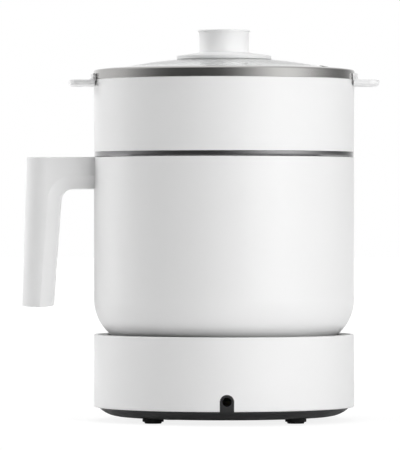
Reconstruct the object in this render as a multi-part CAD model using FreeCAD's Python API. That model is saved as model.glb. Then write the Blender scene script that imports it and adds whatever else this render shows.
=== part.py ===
import FreeCAD, Part

import math
import os

# Electric hot pot: a mains base with a hot plate, a lift-off pot with a side handle, a steamer ring
# and a glass lid.
# Millimetres. +Z is up and Z = 0 is the surface that the feet stand on. The Z axis is the axis of the pot.
# -Y is the back, with the mains inlet. +Y is the front, with the dial. The handle points to -X.

# ---- clearances ----
slip_gap = 0.1  # between pieces that are fitted once and stay put
run_gap = 0.05  # round a shaft that turns or slides, and round a screw
loose_gap = 0.5  # round the lips that centre the steamer and the lid

# ---- pot ----
pot_r = 93.0
pot_h = 134.3  # from the flat bottom to the top edge of the jacket
pot_corner_r = 33.0
jacket_wall = 1.2
liner_gap = 2.3  # air between jacket and liner
liner_wall = 1.5
liner_corner_r = 26.0
rim_h = 3.7
rim_inset = 0.3  # the rim stands this much inside the jacket's outside
rim_round = 0.9
base_disc_h = 5.0
gasket_w = 3.4
gasket_edge = 0.5  # flat left outside the gasket, before the jacket's corner starts

# ---- base ----
foot_count = 4
foot_inset = 22.0  # from the shell's outside in to a foot's axis
foot_pad_r = 6.0
foot_pad_h = 1.2
foot_disc_r = 7.5
foot_disc_h = 2.1
foot_peg_r = 2.5
foot_head_r = 3.4
foot_head_h = 1.4
cover_drop = 6.54  # from the shell's lower edge down to the cover's flat bottom
cover_inset = 4.3  # from the shell's outside in to the cover's side
cover_curve_r = 20.3
cover_wall = 2.0
cover_lip_h = 3.2
cover_seat_gap = 0.6  # between the cover's lip and the shell's inside
base_h = 51.76
base_wall = 2.5
base_top_round = 0.8
base_low_round = 1.0
dish_ledge_w = 1.5  # inside the drum, under the dish's deck
dish_ledge_h = 2.5
pot_sink = 7.8  # how deep the pot stands in the recess
recess_gap = 2.2  # between pot and recess at the deck
recess_floor_drop = 4.3  # from the hot plate's face down to the recess floor
vent_count = 12
vent_w = 3.0
vent_r_in = 26.0
vent_r_out = 42.0

# ---- screws of the base ----
screw_count = 3
cover_boss_r = 6.0
cover_boss_h = 5.0
cover_screw_sink = 2.7
post_r = 4.0
screw_r = 1.9
screw_head_r = 3.6
screw_head_h = 2.2
screw_bite = 9.0

# ---- mains inlet ----
inlet_x = 1.5
inlet_w = 9.8
inlet_hole_r = 3.3  # at the mouth
inlet_bore_r = 2.9  # behind the flare
inlet_flare_l = 3.2  # the mouth narrows over this length, so that the edge doesn't cut the cord
inlet_hole_rise = 7.0  # from the shell's lower edge to the hole's axis
inlet_sink = 0.3  # the insert's face stands back from the shell's outside
inlet_flange_w = 3.0
inlet_flange_h = 2.0
inlet_depth = 8.6

# ---- hot plate ----
plate_overhang = 6.0  # beyond the pot's flat bottom
plate_h = 6.5
plate_gap = 2.0
plate_round = 1.0
tube_r = 3.3
tube_rib_gap = 3.5  # from the rib out to a standoff
tube_rib_w = 11.0
tube_open_deg = 50.0  # the gap between the tube's two ends
tube_leg_h = 15.0
tube_pin_r = 1.2
tube_pin_h = 7.0
standoff_h = 12.5
standoff_r = 4.0
standoff_edge = 9.0  # from the plate's edge in to a standoff's axis
plate_screw_bite = 4.5
pan_wall = 0.8
pan_rim_gap = 0.2  # from a standoff out to the pan's rim
pan_rim_h = 5.0
pan_arm_w = 14.0
pan_post_edge = 4.0  # from the shell's floor hole out to the post's side
pan_arm_end = 4.5  # beyond the post's axis

# ---- temperature sensor ----
cap_r = 12.5
cap_wall = 0.8
cap_roof = 1.5
cap_h = 10.0
cap_flange_w = 2.5
cap_hole_gap = 1.0
guide_r = 6.5
guide_bore_r = 4.5
guide_h = 10.4
guide_flange_r = 11.0
guide_flange_h = 0.8
spring_r = 9.0
spring_wire_r = 0.6
spring_turns = 6
thermostat_r = 8.0
thermostat_h = 7.0
thermostat_x = -30.0
thermostat_y = 22.0
fuse_r = 2.0
fuse_l = 14.0
fuse_x = 26.0
fuse_y = -24.0
fuse_lead_r = 0.6
fuse_lead_l = 7.0
lead_r = 1.2
lead_low_z = 14.5
lead_turn_l = 7.0  # how far a lead runs straight out of the terminal block

# ---- wiring and controls ----
block_l = 32.0
block_w = 14.0
block_h = 11.0
block_inset = 33.0  # from the shell's outside in to the block's middle
block_ways = 3
board_edge = 4.0  # beyond the lamp's axis
board_h = 28.0
board_t = 1.6
board_inset = 27.0  # from the shell's outside in to the board's rear face
board_rise = 9.0  # from the cover's floor to the board's lower edge
board_post_x = 22.0
board_post_w = 6.0
board_slot_h = 2.0
switch_w = 16.0
switch_l = 13.0
dial_rise = 19.7  # from the board's lower edge up to the dial's axis
dial_scale_w = 5.0  # of the seat, beyond the dial
dial_seat_h = 1.0
dial_r = 15.0
dial_skirt_h = 5.0
dial_bar_w = 7.0
dial_bar_h = 8.5
dial_bar_end = 1.0
dial_gap = 0.4
dial_bush_r = 5.0
dial_shaft_r = 3.0
dial_shaft_sink = 6.0
dial_mark_w = 1.4
dial_mark_l = 6.0
dial_mark_t = 0.5
lamp_gap = 3.5  # from the dial's seat to the lens
lamp_r = 2.5
lamp_proud = 0.4
lamp_pipe_r = 1.6

# ---- handle ----
handle_reach_top = 48.0  # from the jacket out to the shoulder
handle_reach_low = 51.6
handle_grip_top = 22.75  # clear space between jacket and grip, just under the arm
handle_grip_low = 28.8
handle_arm_h = 22.9
handle_drop = 105.9
handle_end_bulge = 1.2
handle_half_w = 12.0
handle_nose_l = 14.5  # how far the rounded outer side reaches in
handle_inner_round = 8.0  # in the corner over the fingers
facet_w = 9.5
facet_fall = 2.6
handle_wall = 3.0
handle_outer_wall = 5.0
handle_core_half_w = 6.5
handle_edge_round = 0.7
handle_finger_round = 1.5
handle_cover_t = 1.8
bracket_t = 2.0
bracket_half_w = 5.5
bracket_reach = 33.0
bracket_pad_h = 12.0
handle_screw_r = 2.0
handle_screw_head_r = 3.6
handle_screw_head_h = 2.0
handle_screw_first = 11.0
handle_screw_step = 12.0

# ---- steamer ----
steamer_h = 51.2
steamer_top_flare = 0.2
steamer_low_inset = 0.1
steamer_wall = 2.4
steamer_lip_h = 7.8
steamer_lip_wall = 2.0
steamer_ledge_h = 2.7
tray_h = 2.2
tray_hole_r = 2.6
tray_edge_w = 14.0  # without holes
tray_ring_step = 12.0
tray_ring_holes = 6
ear_reach = 18.0
ear_h = 4.0
ear_side_w = 2.4  # beyond the upstand's ends
ear_plan_round = 8.0
ear_low_round = 1.8
ear_top_round = 0.7
upstand_h = 4.4
upstand_wall = 1.9
upstand_half_deg = 13.2
upstand_flare = 2.4
upstand_gap = 0.35

# ---- lid ----
band_proud = 0.35  # beyond the pot's outside
band_h = 7.3
band_t = 0.6
band_round = 1.5
band_lip_w = 7.35
band_lip_rise = 0.8
band_skirt_h = 5.0
glass_t = 4.0
glass_dome_rise = 6.86  # of the spherical part
glass_blend_fall = 2.04  # from the spherical part down to the band's lip edge
glass_blend_w = 14.5
glass_hole_r = 5.0
glass_edge_gap = 0.75
vent_inset = 14.0  # from the band's lip edge in to the vent's axis
vent_hole_r = 3.0
vent_eye_bore_r = 2.2
vent_flange_r = 3.9
vent_flange_h = 0.6

# ---- knob ----
skirt_r = 33.9
skirt_edge_gap = 0.2  # between the skirt's rim and the glass
skirt_edge_h = 2.5
skirt_cone_h = 2.5
skirt_round = 0.8
knob_low_r = 17.6
knob_top_r = 17.95
knob_h = 14.6
knob_wall = 2.2
knob_floor = 2.5
knob_cap_r = 18.9
knob_cap_h = 1.3
knob_cap_dome = 0.3
knob_cap_round = 0.5
knob_plug_h = 4.0
knob_plug_wall = 1.6
seat_r = 17.2
seat_h = 5.0
seat_spigot_gap = 0.3
seat_screw_sink = 3.2
washer_r = 15.0
washer_h = 0.8
insert_r = 4.5
insert_h = 9.0
insert_boss_wall = 2.0
knob_screw_r = 2.5
knob_screw_head_r = 4.6
knob_screw_head_h = 2.6

# ---- levels and radii that follow from the sizes above ----
cover_z = foot_pad_h + foot_disc_h
cover_floor_z = cover_z + cover_wall
shell_z = cover_z + cover_drop
deck_z = shell_z + base_h
deck_low_z = deck_z - base_wall
pot_z = deck_z - pot_sink
pot_top_z = pot_z + pot_h
rim_top_z = pot_top_z + rim_h
steamer_top_z = rim_top_z + steamer_h

base_r = pot_r
shell_in_r = base_r - base_wall
cover_r = base_r - cover_inset
cover_lip_r = shell_in_r - cover_seat_gap
foot_circle_r = base_r - foot_inset
pot_flat_r = pot_r - pot_corner_r
base_disc_r = pot_flat_r - gasket_edge - gasket_w - slip_gap
pot_deck_r = pot_flat_r + math.sqrt(pot_corner_r**2 - (pot_corner_r - pot_sink) ** 2)
recess_r = pot_deck_r + recess_gap
recess_z = pot_z - recess_floor_drop
recess_low_z = recess_z - base_wall

plate_r = pot_flat_r + plate_overhang
floor_hole_r = plate_r + plate_gap
cover_screw_circle_r = floor_hole_r + post_r
pan_post_circle_r = floor_hole_r + pan_post_edge + post_r
standoff_circle_r = plate_r - standoff_edge
tube_circle_r = standoff_circle_r - standoff_r - tube_rib_gap - tube_rib_w / 2
pan_r = standoff_circle_r + standoff_r + pan_rim_gap + pan_wall
plate_z = pot_z - plate_h
tube_z = plate_z - tube_r + slip_gap
pan_top_z = plate_z - standoff_h
pan_z = pan_top_z - pan_wall
plate_hole_r = cap_r + cap_hole_gap
spring_z = pan_top_z + guide_flange_h
cap_z = pot_z - cap_h

cover_boss_z = cover_z + cover_boss_h
cover_head_z = cover_z + cover_screw_sink

board_z = cover_floor_z + board_rise
board_y = base_r - board_inset
switch_y = board_y + board_t
block_y = block_inset - base_r
dial_z = board_z + dial_rise
dial_seat_r = dial_r + dial_scale_w
lamp_x = dial_seat_r + lamp_gap + lamp_r
board_w = 2 * (lamp_x + board_edge)
dial_seat_y = base_r + dial_seat_h
dial_y = dial_seat_y + dial_gap

jacket_in_r = pot_r - jacket_wall
liner_r = jacket_in_r - liner_gap
liner_in_r = liner_r - liner_wall
liner_z = pot_z + base_disc_h
rim_r = pot_r - rim_inset

steamer_low_r = pot_r - steamer_low_inset
steamer_top_r = pot_r + steamer_top_flare
steamer_in_r = steamer_low_r - steamer_wall
steamer_lip_r = liner_in_r - loose_gap
steamer_lip_in_r = steamer_lip_r - steamer_lip_wall
ledge_z = rim_top_z + steamer_ledge_h
tray_r = steamer_in_r - slip_gap
tray_rings = int((tray_r - tray_edge_w) / tray_ring_step)
ear_z = steamer_top_z - ear_h

band_r = pot_r + band_proud
upstand_r = band_r + upstand_gap
ear_half_w = (upstand_r + upstand_wall) * math.sin(math.radians(upstand_half_deg)) + ear_side_w
band_top_z = steamer_top_z + band_h
band_lip_r = band_r - band_lip_w
band_lip_z = band_top_z + band_lip_rise
band_skirt_r = steamer_in_r - loose_gap
glass_lip_z = band_lip_z - band_t - slip_gap
glass_apex_z = glass_lip_z + glass_blend_fall + glass_dome_rise
glass_dome_edge_r = band_lip_r - glass_blend_w
glass_dome_r = (glass_dome_edge_r**2 + glass_dome_rise**2) / (2 * glass_dome_rise)
vent_eye_x = band_lip_r - vent_inset
glass_edge_slope = -band_lip_rise / (band_lip_w - band_round)
glass_r = band_r - band_t - glass_edge_gap
glass_under_z = glass_apex_z - glass_t
skirt_z = glass_apex_z + washer_h
skirt_low_z = glass_apex_z - skirt_r**2 / (2 * glass_dome_r) + skirt_edge_gap
skirt_edge_z = skirt_low_z + skirt_edge_h
knob_z = skirt_edge_z + skirt_cone_h
knob_top_z = knob_z + knob_h
seat_top_z = glass_under_z - washer_h
seat_z = seat_top_z - seat_h
knob_head_z = seat_z + seat_screw_sink
insert_z = knob_z + slip_gap


# ---- building helpers ----
def vec(x, y, z):
    return FreeCAD.Vector(x, y, z)


UP = vec(0, 0, 1)
FORWARD = vec(0, 1, 0)
RIGHT = vec(1, 0, 0)


def flat(*steps, y=0.0):
    """Closed wire in the plane at this y. A step is a corner (x, z), or a pair (through, end) for an arc."""
    first = steps[0]
    here, edges = first, []
    for step in steps[1:] + (first,):
        if isinstance(step[0], tuple):
            through, end = step
            curve = Part.Arc(vec(here[0], y, here[1]), vec(through[0], y, through[1]), vec(end[0], y, end[1]))
        else:
            end = step
            if math.dist(here, end) < 1e-6:
                continue
            curve = Part.LineSegment(vec(here[0], y, here[1]), vec(end[0], y, end[1]))
        edges.append(curve.toShape())
        here = end
    return Part.Wire(edges)


def lathe(*steps):
    """Solid turned round the Z axis from a closed outline of (radius, z) steps."""
    return Part.Face(flat(*steps)).revolve(vec(0, 0, 0), UP, 360)


def disc(r, low, high, x=0.0, y=0.0):
    """Upright cylinder between two levels."""
    return Part.makeCylinder(r, high - low, vec(x, y, low))


def ring(r_in, r_out, low, high, x=0.0, y=0.0):
    """Upright tube between two levels."""
    return disc(r_out, low, high, x, y).cut(disc(r_in, low, high, x, y))


def rod(r, start, end, x, z):
    """Cylinder along Y."""
    return Part.makeCylinder(r, end - start, vec(x, start, z), FORWARD)


def block(x0, x1, y0, y1, z0, z1):
    """Box between two corners."""
    return Part.makeBox(x1 - x0, y1 - y0, z1 - z0, vec(x0, y0, z0))


def fuse(shapes):
    """One solid from shapes that meet."""
    shapes = list(shapes)
    return shapes[0].multiFuse(shapes[1:]).removeSplitter() if len(shapes) > 1 else shapes[0]


def around(r, count, start_deg=0.0):
    """Points (x, y) spaced evenly round a circle."""
    angles = [math.radians(start_deg + 360.0 * i / count) for i in range(count)]
    return [(r * math.cos(a), r * math.sin(a)) for a in angles]


def round_circles(shape, size, *circles):
    """Fillet the round edges that have one of these (radius, z) pairs."""
    picked = []
    for edge in shape.Edges:
        if edge.Degenerated or not isinstance(edge.Curve, Part.Circle):
            continue
        for r, z in circles:
            if abs(edge.Curve.Radius - r) < 1e-3 and abs(edge.Curve.Center.z - z) < 1e-3:
                picked.append(edge)
    return shape.makeFillet(size, picked)


def screw(r, head_r, head_h, seat_z_, tip_z, x, y):
    """Screw with its head below seat_z_ and its tip pointing up, with a cross slot in the head."""
    body = fuse([disc(head_r, seat_z_ - head_h, seat_z_, x, y), disc(r, seat_z_ - head_h / 2, tip_z, x, y)])
    slot_w, slot_l, slot_h = r * 0.35, head_r * 0.6, head_h * 0.4
    low = seat_z_ - head_h
    for half_x, half_y in ((slot_w, slot_l), (slot_l, slot_w)):
        body = body.cut(block(x - half_x, x + half_x, y - half_y, y + half_y, low, low + slot_h))
    return body


def save(name, *solids):
    """Write one node; pieces of one kind share a node as separate solids."""
    shape = solids[0] if len(solids) == 1 else Part.makeCompound(list(solids))
    shape.exportStep("parts/" + name + ".step")


# ---- places that repeat ----
foot_places = around(foot_circle_r, foot_count, 45.0)
cover_screw_places = around(cover_screw_circle_r, screw_count, 0.0)
pan_post_places = around(pan_post_circle_r, screw_count, 30.0)
standoff_places = around(standoff_circle_r, screw_count, 90.0)
tube_end_places = [
    (tube_circle_r * math.cos(a), tube_circle_r * math.sin(a))
    for a in (math.radians(-90 - tube_open_deg / 2), math.radians(-90 + tube_open_deg / 2))
]


# ---- base ----
def inlet_outline(grow, r_out, r_in, drop=0.0):
    """Arched tongue in the shell's slot, between two radii of the base; grow widens it all round."""
    half = inlet_w / 2 + grow
    axis_z = shell_z + inlet_hole_rise
    slab = fuse([
        block(inlet_x - half, inlet_x + half, -r_out - 1, -r_in + 6, shell_z - drop, axis_z),
        rod(half, -r_out - 1, -r_in + 6, inlet_x, axis_z),
    ])
    return slab.common(ring(r_in, r_out, shell_z - drop, deck_z))


def base_shell():
    """Straight drum with a ledge for the dish, the inlet's slot and holes for the dial bush and the lamp."""
    ledge_in_r, ledge_low_z = shell_in_r - dish_ledge_w, deck_low_z - dish_ledge_h
    body = lathe(
        (shell_in_r, deck_z), (base_r, deck_z), (base_r, shell_z), (shell_in_r, shell_z),
        (shell_in_r, ledge_low_z), (ledge_in_r, ledge_low_z), (ledge_in_r, deck_low_z),
        (shell_in_r, deck_low_z),
    )
    body = round_circles(body, base_top_round, (base_r, deck_z))
    body = round_circles(body, base_low_round, (base_r, shell_z))
    lamp_hole = rod(lamp_r + slip_gap, board_y, base_r, lamp_x, dial_z)
    dial_hole = rod(dial_bush_r + slip_gap, board_y, base_r, 0, dial_z)
    slot = inlet_outline(slip_gap, base_r + 1, shell_in_r - 1, drop=1.0)
    return body.cut(Part.makeCompound([lamp_hole, dial_hole, slot]))


def recess_dish():
    """Dish on the drum's ledge: deck, wall round the pot, floor round the hot plate, and the posts."""
    deck_r = shell_in_r - slip_gap
    body = lathe(
        (recess_r, deck_z), (deck_r, deck_z), (deck_r, deck_low_z), (recess_r + base_wall, deck_low_z),
        (recess_r + base_wall, recess_low_z), (floor_hole_r, recess_low_z), (floor_hole_r, recess_z),
        (recess_r, recess_z),
    )
    body = round_circles(body, base_top_round, (recess_r, deck_z))
    posts = [disc(post_r, cover_boss_z, recess_low_z, x, y) for x, y in cover_screw_places]
    posts += [disc(post_r, pan_top_z, recess_low_z, x, y) for x, y in pan_post_places]
    body = body.multiFuse(posts)
    pilots = [disc(screw_r + run_gap, cover_boss_z, cover_boss_z + screw_bite + 1, x, y)
              for x, y in cover_screw_places]
    pilots += [disc(screw_r + run_gap, pan_top_z, pan_top_z + screw_bite + 1, x, y)
               for x, y in pan_post_places]
    return body.cut(Part.makeCompound(pilots))


def bottom_cover():
    """Dish that curves in under the shell, with bosses for its screws and posts for the board."""
    centre_r = cover_r - math.sqrt(cover_curve_r**2 - (cover_curve_r - cover_drop + 1.2) ** 2)
    centre_z = cover_z + cover_curve_r
    in_r = cover_curve_r - cover_wall
    side_z = centre_z - math.sqrt(cover_curve_r**2 - (cover_r - centre_r) ** 2)
    inner_side_r = cover_r - cover_wall
    inner_z = centre_z - math.sqrt(in_r**2 - (inner_side_r - centre_r) ** 2)

    def on_arc(r, share, reach):
        a = share * math.asin(reach / r)
        return centre_r + r * math.sin(a), centre_z - r * math.cos(a)

    outer_mid = on_arc(cover_curve_r, 0.5, cover_r - centre_r)
    inner_mid = on_arc(in_r, 0.5, inner_side_r - centre_r)
    body = lathe(
        (0, cover_z), (centre_r, cover_z), (outer_mid, (cover_r, side_z)), (cover_r, shell_z),
        (cover_lip_r, shell_z + slip_gap), (cover_lip_r, shell_z + cover_lip_h),
        (inner_side_r, shell_z + cover_lip_h), (inner_side_r, inner_z),
        (inner_mid, (centre_r, cover_floor_z)), (0, cover_floor_z),
    )
    bosses = [disc(cover_boss_r, cover_z, cover_boss_z, x, y) for x, y in cover_screw_places]
    half = board_post_w / 2
    mid_y = board_y + board_t / 2
    post_low, post_high = cover_z + cover_wall / 2, board_z + board_slot_h
    posts = [block(x - half, x + half, mid_y - half, mid_y + half, post_low, post_high)
             for x in (-board_post_x, board_post_x)]
    body = body.multiFuse(bosses + posts)
    cuts = [disc(screw_r + 2 * slip_gap, cover_z, cover_boss_z, x, y) for x, y in cover_screw_places]
    cuts += [disc(screw_head_r + slip_gap, cover_z, cover_head_z, x, y) for x, y in cover_screw_places]
    cuts += [disc(foot_peg_r + slip_gap, cover_z, cover_floor_z, x, y) for x, y in foot_places]
    cuts.append(block(-board_w / 2 - slip_gap, board_w / 2 + slip_gap, board_y - slip_gap,
                      board_y + board_t + slip_gap, board_z - slip_gap, board_z + board_h))
    notch_half = inlet_w / 2 + inlet_flange_w + slip_gap
    cuts.append(block(inlet_x - notch_half, inlet_x + notch_half, -base_r, -base_r + inlet_depth + 2,
                      shell_z - slip_gap, deck_z))
    for i in range(vent_count):
        slot = block(vent_r_in, vent_r_out, -vent_w / 2, vent_w / 2, cover_z, cover_floor_z)
        cuts.append(slot.rotated(vec(0, 0, 0), UP, 360.0 * i / vent_count))
    return body.cut(Part.makeCompound(cuts))


def rubber_foot(x, y):
    """Stepped foot with a peg that snaps through the cover."""
    head_z = cover_floor_z + slip_gap
    return fuse([
        disc(foot_pad_r, 0, foot_pad_h, x, y),
        disc(foot_disc_r, foot_pad_h, cover_z, x, y),
        disc(foot_peg_r, cover_z, head_z, x, y),
        disc(foot_head_r, head_z, head_z + foot_head_h, x, y),
    ])


def inlet_bushing():
    """Tongue that fills the shell's slot, a flange behind the wall, and a barrel round the cord hole."""
    axis_z = shell_z + inlet_hole_rise
    back = base_r - inlet_depth
    front = inlet_outline(0.0, base_r - inlet_sink, shell_in_r - 1)
    flange_r = shell_in_r - slip_gap
    flange = inlet_outline(inlet_flange_w, flange_r, flange_r - inlet_flange_h)
    barrel = inlet_outline(0.0, flange_r, back)
    hole = rod(inlet_bore_r, -base_r - 1, -back + 7, inlet_x, axis_z)
    mouth_y, spread = -base_r + inlet_sink, inlet_hole_r - inlet_bore_r
    over = 1 + inlet_sink
    wide_r = inlet_hole_r + over * spread / inlet_flare_l
    start = vec(inlet_x, mouth_y - over, axis_z)
    flare = Part.makeCone(wide_r, inlet_bore_r, inlet_flare_l + over, start, FORWARD)
    return fuse([front, flange, barrel]).cut(hole).cut(flare)


# ---- hot plate and its carrier ----
def heating_plate():
    """Cast plate with a rib underneath that half holds the heating tube."""
    body = ring(plate_hole_r, plate_r, plate_z, pot_z)
    body = round_circles(body, plate_round, (plate_r, pot_z))
    rib = ring(tube_circle_r - tube_rib_w / 2, tube_circle_r + tube_rib_w / 2, tube_z, plate_z)
    body = body.fuse(rib).removeSplitter()
    groove = Part.makeTorus(tube_circle_r, tube_r + run_gap, vec(0, 0, tube_z), UP)
    bores = [disc(screw_r + run_gap, plate_z, plate_z + plate_screw_bite + slip_gap, x, y)
             for x, y in standoff_places]
    return body.cut(groove).cut(Part.makeCompound(bores))


def heating_tube():
    """Sheathed ring element with two legs and their pins."""
    turn = 360.0 - tube_open_deg
    arc = Part.makeTorus(tube_circle_r, tube_r, vec(0, 0, tube_z), UP, -180, 180, turn)
    arc.rotate(vec(0, 0, 0), UP, -90 + tube_open_deg / 2)
    parts = [arc]
    for x, y in tube_end_places:
        leg_z = tube_z - tube_leg_h
        parts.append(Part.makeSphere(tube_r, vec(x, y, tube_z)))
        parts.append(disc(tube_r, leg_z, tube_z, x, y))
        parts.append(disc(tube_pin_r, leg_z - tube_pin_h, leg_z + 1, x, y))
    return fuse(parts)


def support_pan():
    """Pressed pan that carries the plate on standoffs and hangs from three posts of the shell."""
    body = disc(pan_r, pan_z, pan_top_z).fuse(ring(pan_r - pan_wall, pan_r, pan_z, pan_top_z + pan_rim_h))
    arms = []
    for i in range(screw_count):
        half = pan_arm_w / 2
        arm = block(pan_r - 4, pan_post_circle_r + pan_arm_end, -half, half, pan_z, pan_top_z)
        arms.append(arm.rotated(vec(0, 0, 0), UP, 30.0 + 360.0 * i / screw_count))
    body = body.multiFuse(arms)
    hole_r = screw_r + 2 * slip_gap
    cuts = [disc(hole_r, pan_z, pan_top_z, x, y) for x, y in standoff_places + pan_post_places]
    cuts += [disc(tube_r + 1, pan_z, pan_top_z, x, y) for x, y in tube_end_places]
    return body.cut(Part.makeCompound(cuts))


def plate_standoffs():
    return [ring(screw_r + 2 * slip_gap, standoff_r, pan_top_z, plate_z, x, y) for x, y in standoff_places]


def plate_screws():
    tip = plate_z + plate_screw_bite
    return [screw(screw_r, screw_head_r, screw_head_h, pan_z, tip, x, y) for x, y in standoff_places]


def pan_screws():
    tip = pan_top_z + screw_bite
    return [screw(screw_r, screw_head_r, screw_head_h, pan_z, tip, x, y) for x, y in pan_post_places]


def cover_screws():
    tip = cover_boss_z + screw_bite
    head_h = cover_screw_sink - slip_gap
    return [screw(screw_r, screw_head_r, head_h, cover_head_z, tip, x, y) for x, y in cover_screw_places]


# ---- temperature sensor ----
def sensor_cap():
    """Spring-loaded cup that the pot's bottom presses flush with the plate."""
    inner_r = cap_r - cap_wall
    return lathe(
        (0, pot_z), (cap_r, pot_z), (cap_r, cap_z), (cap_r + cap_flange_w, cap_z),
        (cap_r + cap_flange_w, cap_z - cap_wall), (inner_r, cap_z - cap_wall),
        (inner_r, pot_z - cap_roof), (0, pot_z - cap_roof),
    )


def sensor_spring():
    """Compression spring between the guide's flange and the cap's roof."""
    length = pot_z - cap_roof - spring_z - 2 * spring_wire_r
    helix = Part.makeLongHelix(length / spring_turns, length, spring_r)
    section = Part.Wire(Part.makeCircle(spring_wire_r, vec(spring_r, 0, 0), FORWARD))
    wire = Part.Wire(helix.Edges).makePipeShell([section], True, True)
    return wire.translated(vec(0, 0, spring_z + spring_wire_r))


def sensor_guide():
    """Tube on the pan that centres the spring and carries the sensor's bead."""
    foot = ring(guide_bore_r, guide_flange_r, pan_top_z, spring_z)
    return fuse([foot, ring(guide_bore_r, guide_r, pan_top_z, pan_top_z + guide_h)])


def thermostat():
    """Bimetal disc thermostat under the pan, with two flat tabs."""
    low = pan_z - thermostat_h
    body = [disc(thermostat_r, low, pan_z, thermostat_x, thermostat_y)]
    for side in (-1, 1):
        x = thermostat_x + side * thermostat_r / 2
        half = thermostat_r / 4
        body.append(block(x - 0.4, x + 0.4, thermostat_y - half, thermostat_y + half, low - 6, low + 1))
    return fuse(body)


def thermal_fuse():
    """Cartridge fuse against the pan's underside, with its two leads."""
    z = pan_z - fuse_r
    long = fuse_l + 2 * fuse_lead_l
    body = Part.makeCylinder(fuse_r, fuse_l, vec(fuse_x - fuse_l / 2, fuse_y, z), RIGHT)
    return fuse([body, Part.makeCylinder(fuse_lead_r, long, vec(fuse_x - long / 2, fuse_y, z), RIGHT)])


# ---- wiring and controls ----
def terminal_block():
    """Screw terminal block on the cover, one way for each core of the cord."""
    body = block(-block_l / 2, block_l / 2, block_y - block_w / 2, block_y + block_w / 2,
                 cover_floor_z, cover_floor_z + block_h)
    pitch = block_l / block_ways
    cuts = []
    for i in range(block_ways):
        x = (i - (block_ways - 1) / 2) * pitch
        mid_z, top_z = cover_floor_z + block_h / 2, cover_floor_z + block_h
        cuts.append(rod(pitch / 4, block_y - block_w / 2, block_y + block_w / 2, x, mid_z))
        cuts.append(disc(pitch / 4, mid_z + block_h / 4, top_z, x, block_y))
    return body.cut(Part.makeCompound(cuts))


def lead(*points):
    """Insulated lead along straight runs, with a rounded elbow at each turn."""
    parts = []
    for start, end in zip(points, points[1:]):
        run = vec(*end) - vec(*start)
        parts.append(Part.makeCylinder(lead_r, run.Length, vec(*start), run))
    parts += [Part.makeSphere(lead_r, vec(*point)) for point in points[1:-1]]
    return fuse(parts)


def internal_leads():
    """Leads from the terminal block: to the heating tube, to the board, and to earth on the pan."""
    pitch = block_l / block_ways
    exit_y, exit_z = block_y + block_w / 2, cover_floor_z + block_h / 2
    turn_y = exit_y + lead_turn_l
    (left_x, pin_y), (right_x, _) = tube_end_places
    pin_z = tube_z - tube_leg_h - tube_pin_h
    rise_y = board_y - lead_turn_l
    board_x = board_w / 4
    joint_z = board_z + board_h / 3
    neutral = lead((pitch, exit_y, exit_z), (pitch, turn_y, exit_z), (right_x, pin_y, lead_low_z),
                   (right_x, pin_y, pin_z))
    earth = lead((0, exit_y, exit_z), (0, turn_y, exit_z), (0, turn_y, pan_z))
    live = lead((-pitch, exit_y, exit_z), (-pitch, rise_y - lead_turn_l, exit_z), (-board_x, rise_y, joint_z),
                (-board_x, board_y, joint_z))
    switched = lead((left_x, pin_y, pin_z), (left_x, pin_y, lead_low_z),
                    (board_x, rise_y - lead_turn_l, lead_low_z), (board_x, rise_y, joint_z),
                    (board_x, board_y, joint_z))
    return [neutral, earth, live, switched]


def control_board():
    """Upright circuit board in the slots of the cover's posts."""
    return block(-board_w / 2, board_w / 2, board_y, switch_y, board_z, board_z + board_h)


def rotary_switch():
    """Heat selector on the board, with a bush that passes through the shell."""
    half = switch_w / 2
    body = block(-half, half, switch_y, switch_y + switch_l, dial_z - half, dial_z + half)
    bush = rod(dial_bush_r, switch_y + switch_l - 1, shell_in_r + base_wall / 2, 0, dial_z)
    bore = rod(dial_shaft_r + run_gap, switch_y + switch_l - dial_shaft_sink, base_r, 0, dial_z)
    return fuse([body, bush]).cut(bore)


def dial_seat():
    """Flat round pad on the curved shell, behind the dial."""
    pad = rod(dial_seat_r, shell_in_r - 6, dial_seat_y, 0, dial_z)
    hole = rod(dial_bush_r + slip_gap, shell_in_r - 6, dial_seat_y, 0, dial_z)
    return pad.cut(disc(base_r + run_gap, shell_z, deck_z)).cut(hole)


def dial():
    """Round skirt with a grip bar across it, bored for the shaft and slotted for the pointer."""
    bar_half = dial_bar_w / 2
    end = dial_y + dial_skirt_h + dial_bar_h
    skirt = rod(dial_r, dial_y, dial_y + dial_skirt_h, 0, dial_z)
    bar = block(-bar_half, bar_half, dial_y + dial_skirt_h / 2, end, dial_z - dial_r, dial_z + dial_r)
    bar = bar.common(rod(dial_r - dial_bar_end, dial_y, end, 0, dial_z))
    bore = rod(dial_shaft_r, dial_y, dial_y + dial_skirt_h + dial_bar_h / 2, 0, dial_z)
    return fuse([skirt, bar]).cut(bore).cut(dial_pointer())


def dial_pointer():
    """Inlay at the top of the bar's face."""
    end = dial_y + dial_skirt_h + dial_bar_h
    half = dial_mark_w / 2
    high = dial_z + dial_r - dial_bar_end - 2
    return block(-half, half, end - dial_mark_t, end, high - dial_mark_l, high)


def dial_shaft():
    """Shaft from the switch to the dial."""
    start = switch_y + switch_l - dial_shaft_sink + slip_gap
    return rod(dial_shaft_r, start, dial_y + dial_skirt_h + dial_bar_h / 2, 0, dial_z)


def lamp_lens():
    """Round lens in the shell with a light pipe back to the board."""
    face_y = math.sqrt(base_r**2 - lamp_x**2) + lamp_proud
    in_y = math.sqrt(shell_in_r**2 - lamp_x**2) - 1
    pipe = rod(lamp_pipe_r, switch_y, in_y + 1, lamp_x, dial_z)
    return fuse([rod(lamp_r, in_y, face_y, lamp_x, dial_z), pipe])


# ---- pot ----
def cup(r, corner_r, low, high, hole_r):
    """Steps of a cup's outside from the bottom hole up to its top edge."""
    lean = corner_r * (1 - math.sqrt(0.5))
    return [(hole_r, low), (r - corner_r, low), ((r - lean, low + lean), (r, low + corner_r)), (r, high)]


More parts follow.
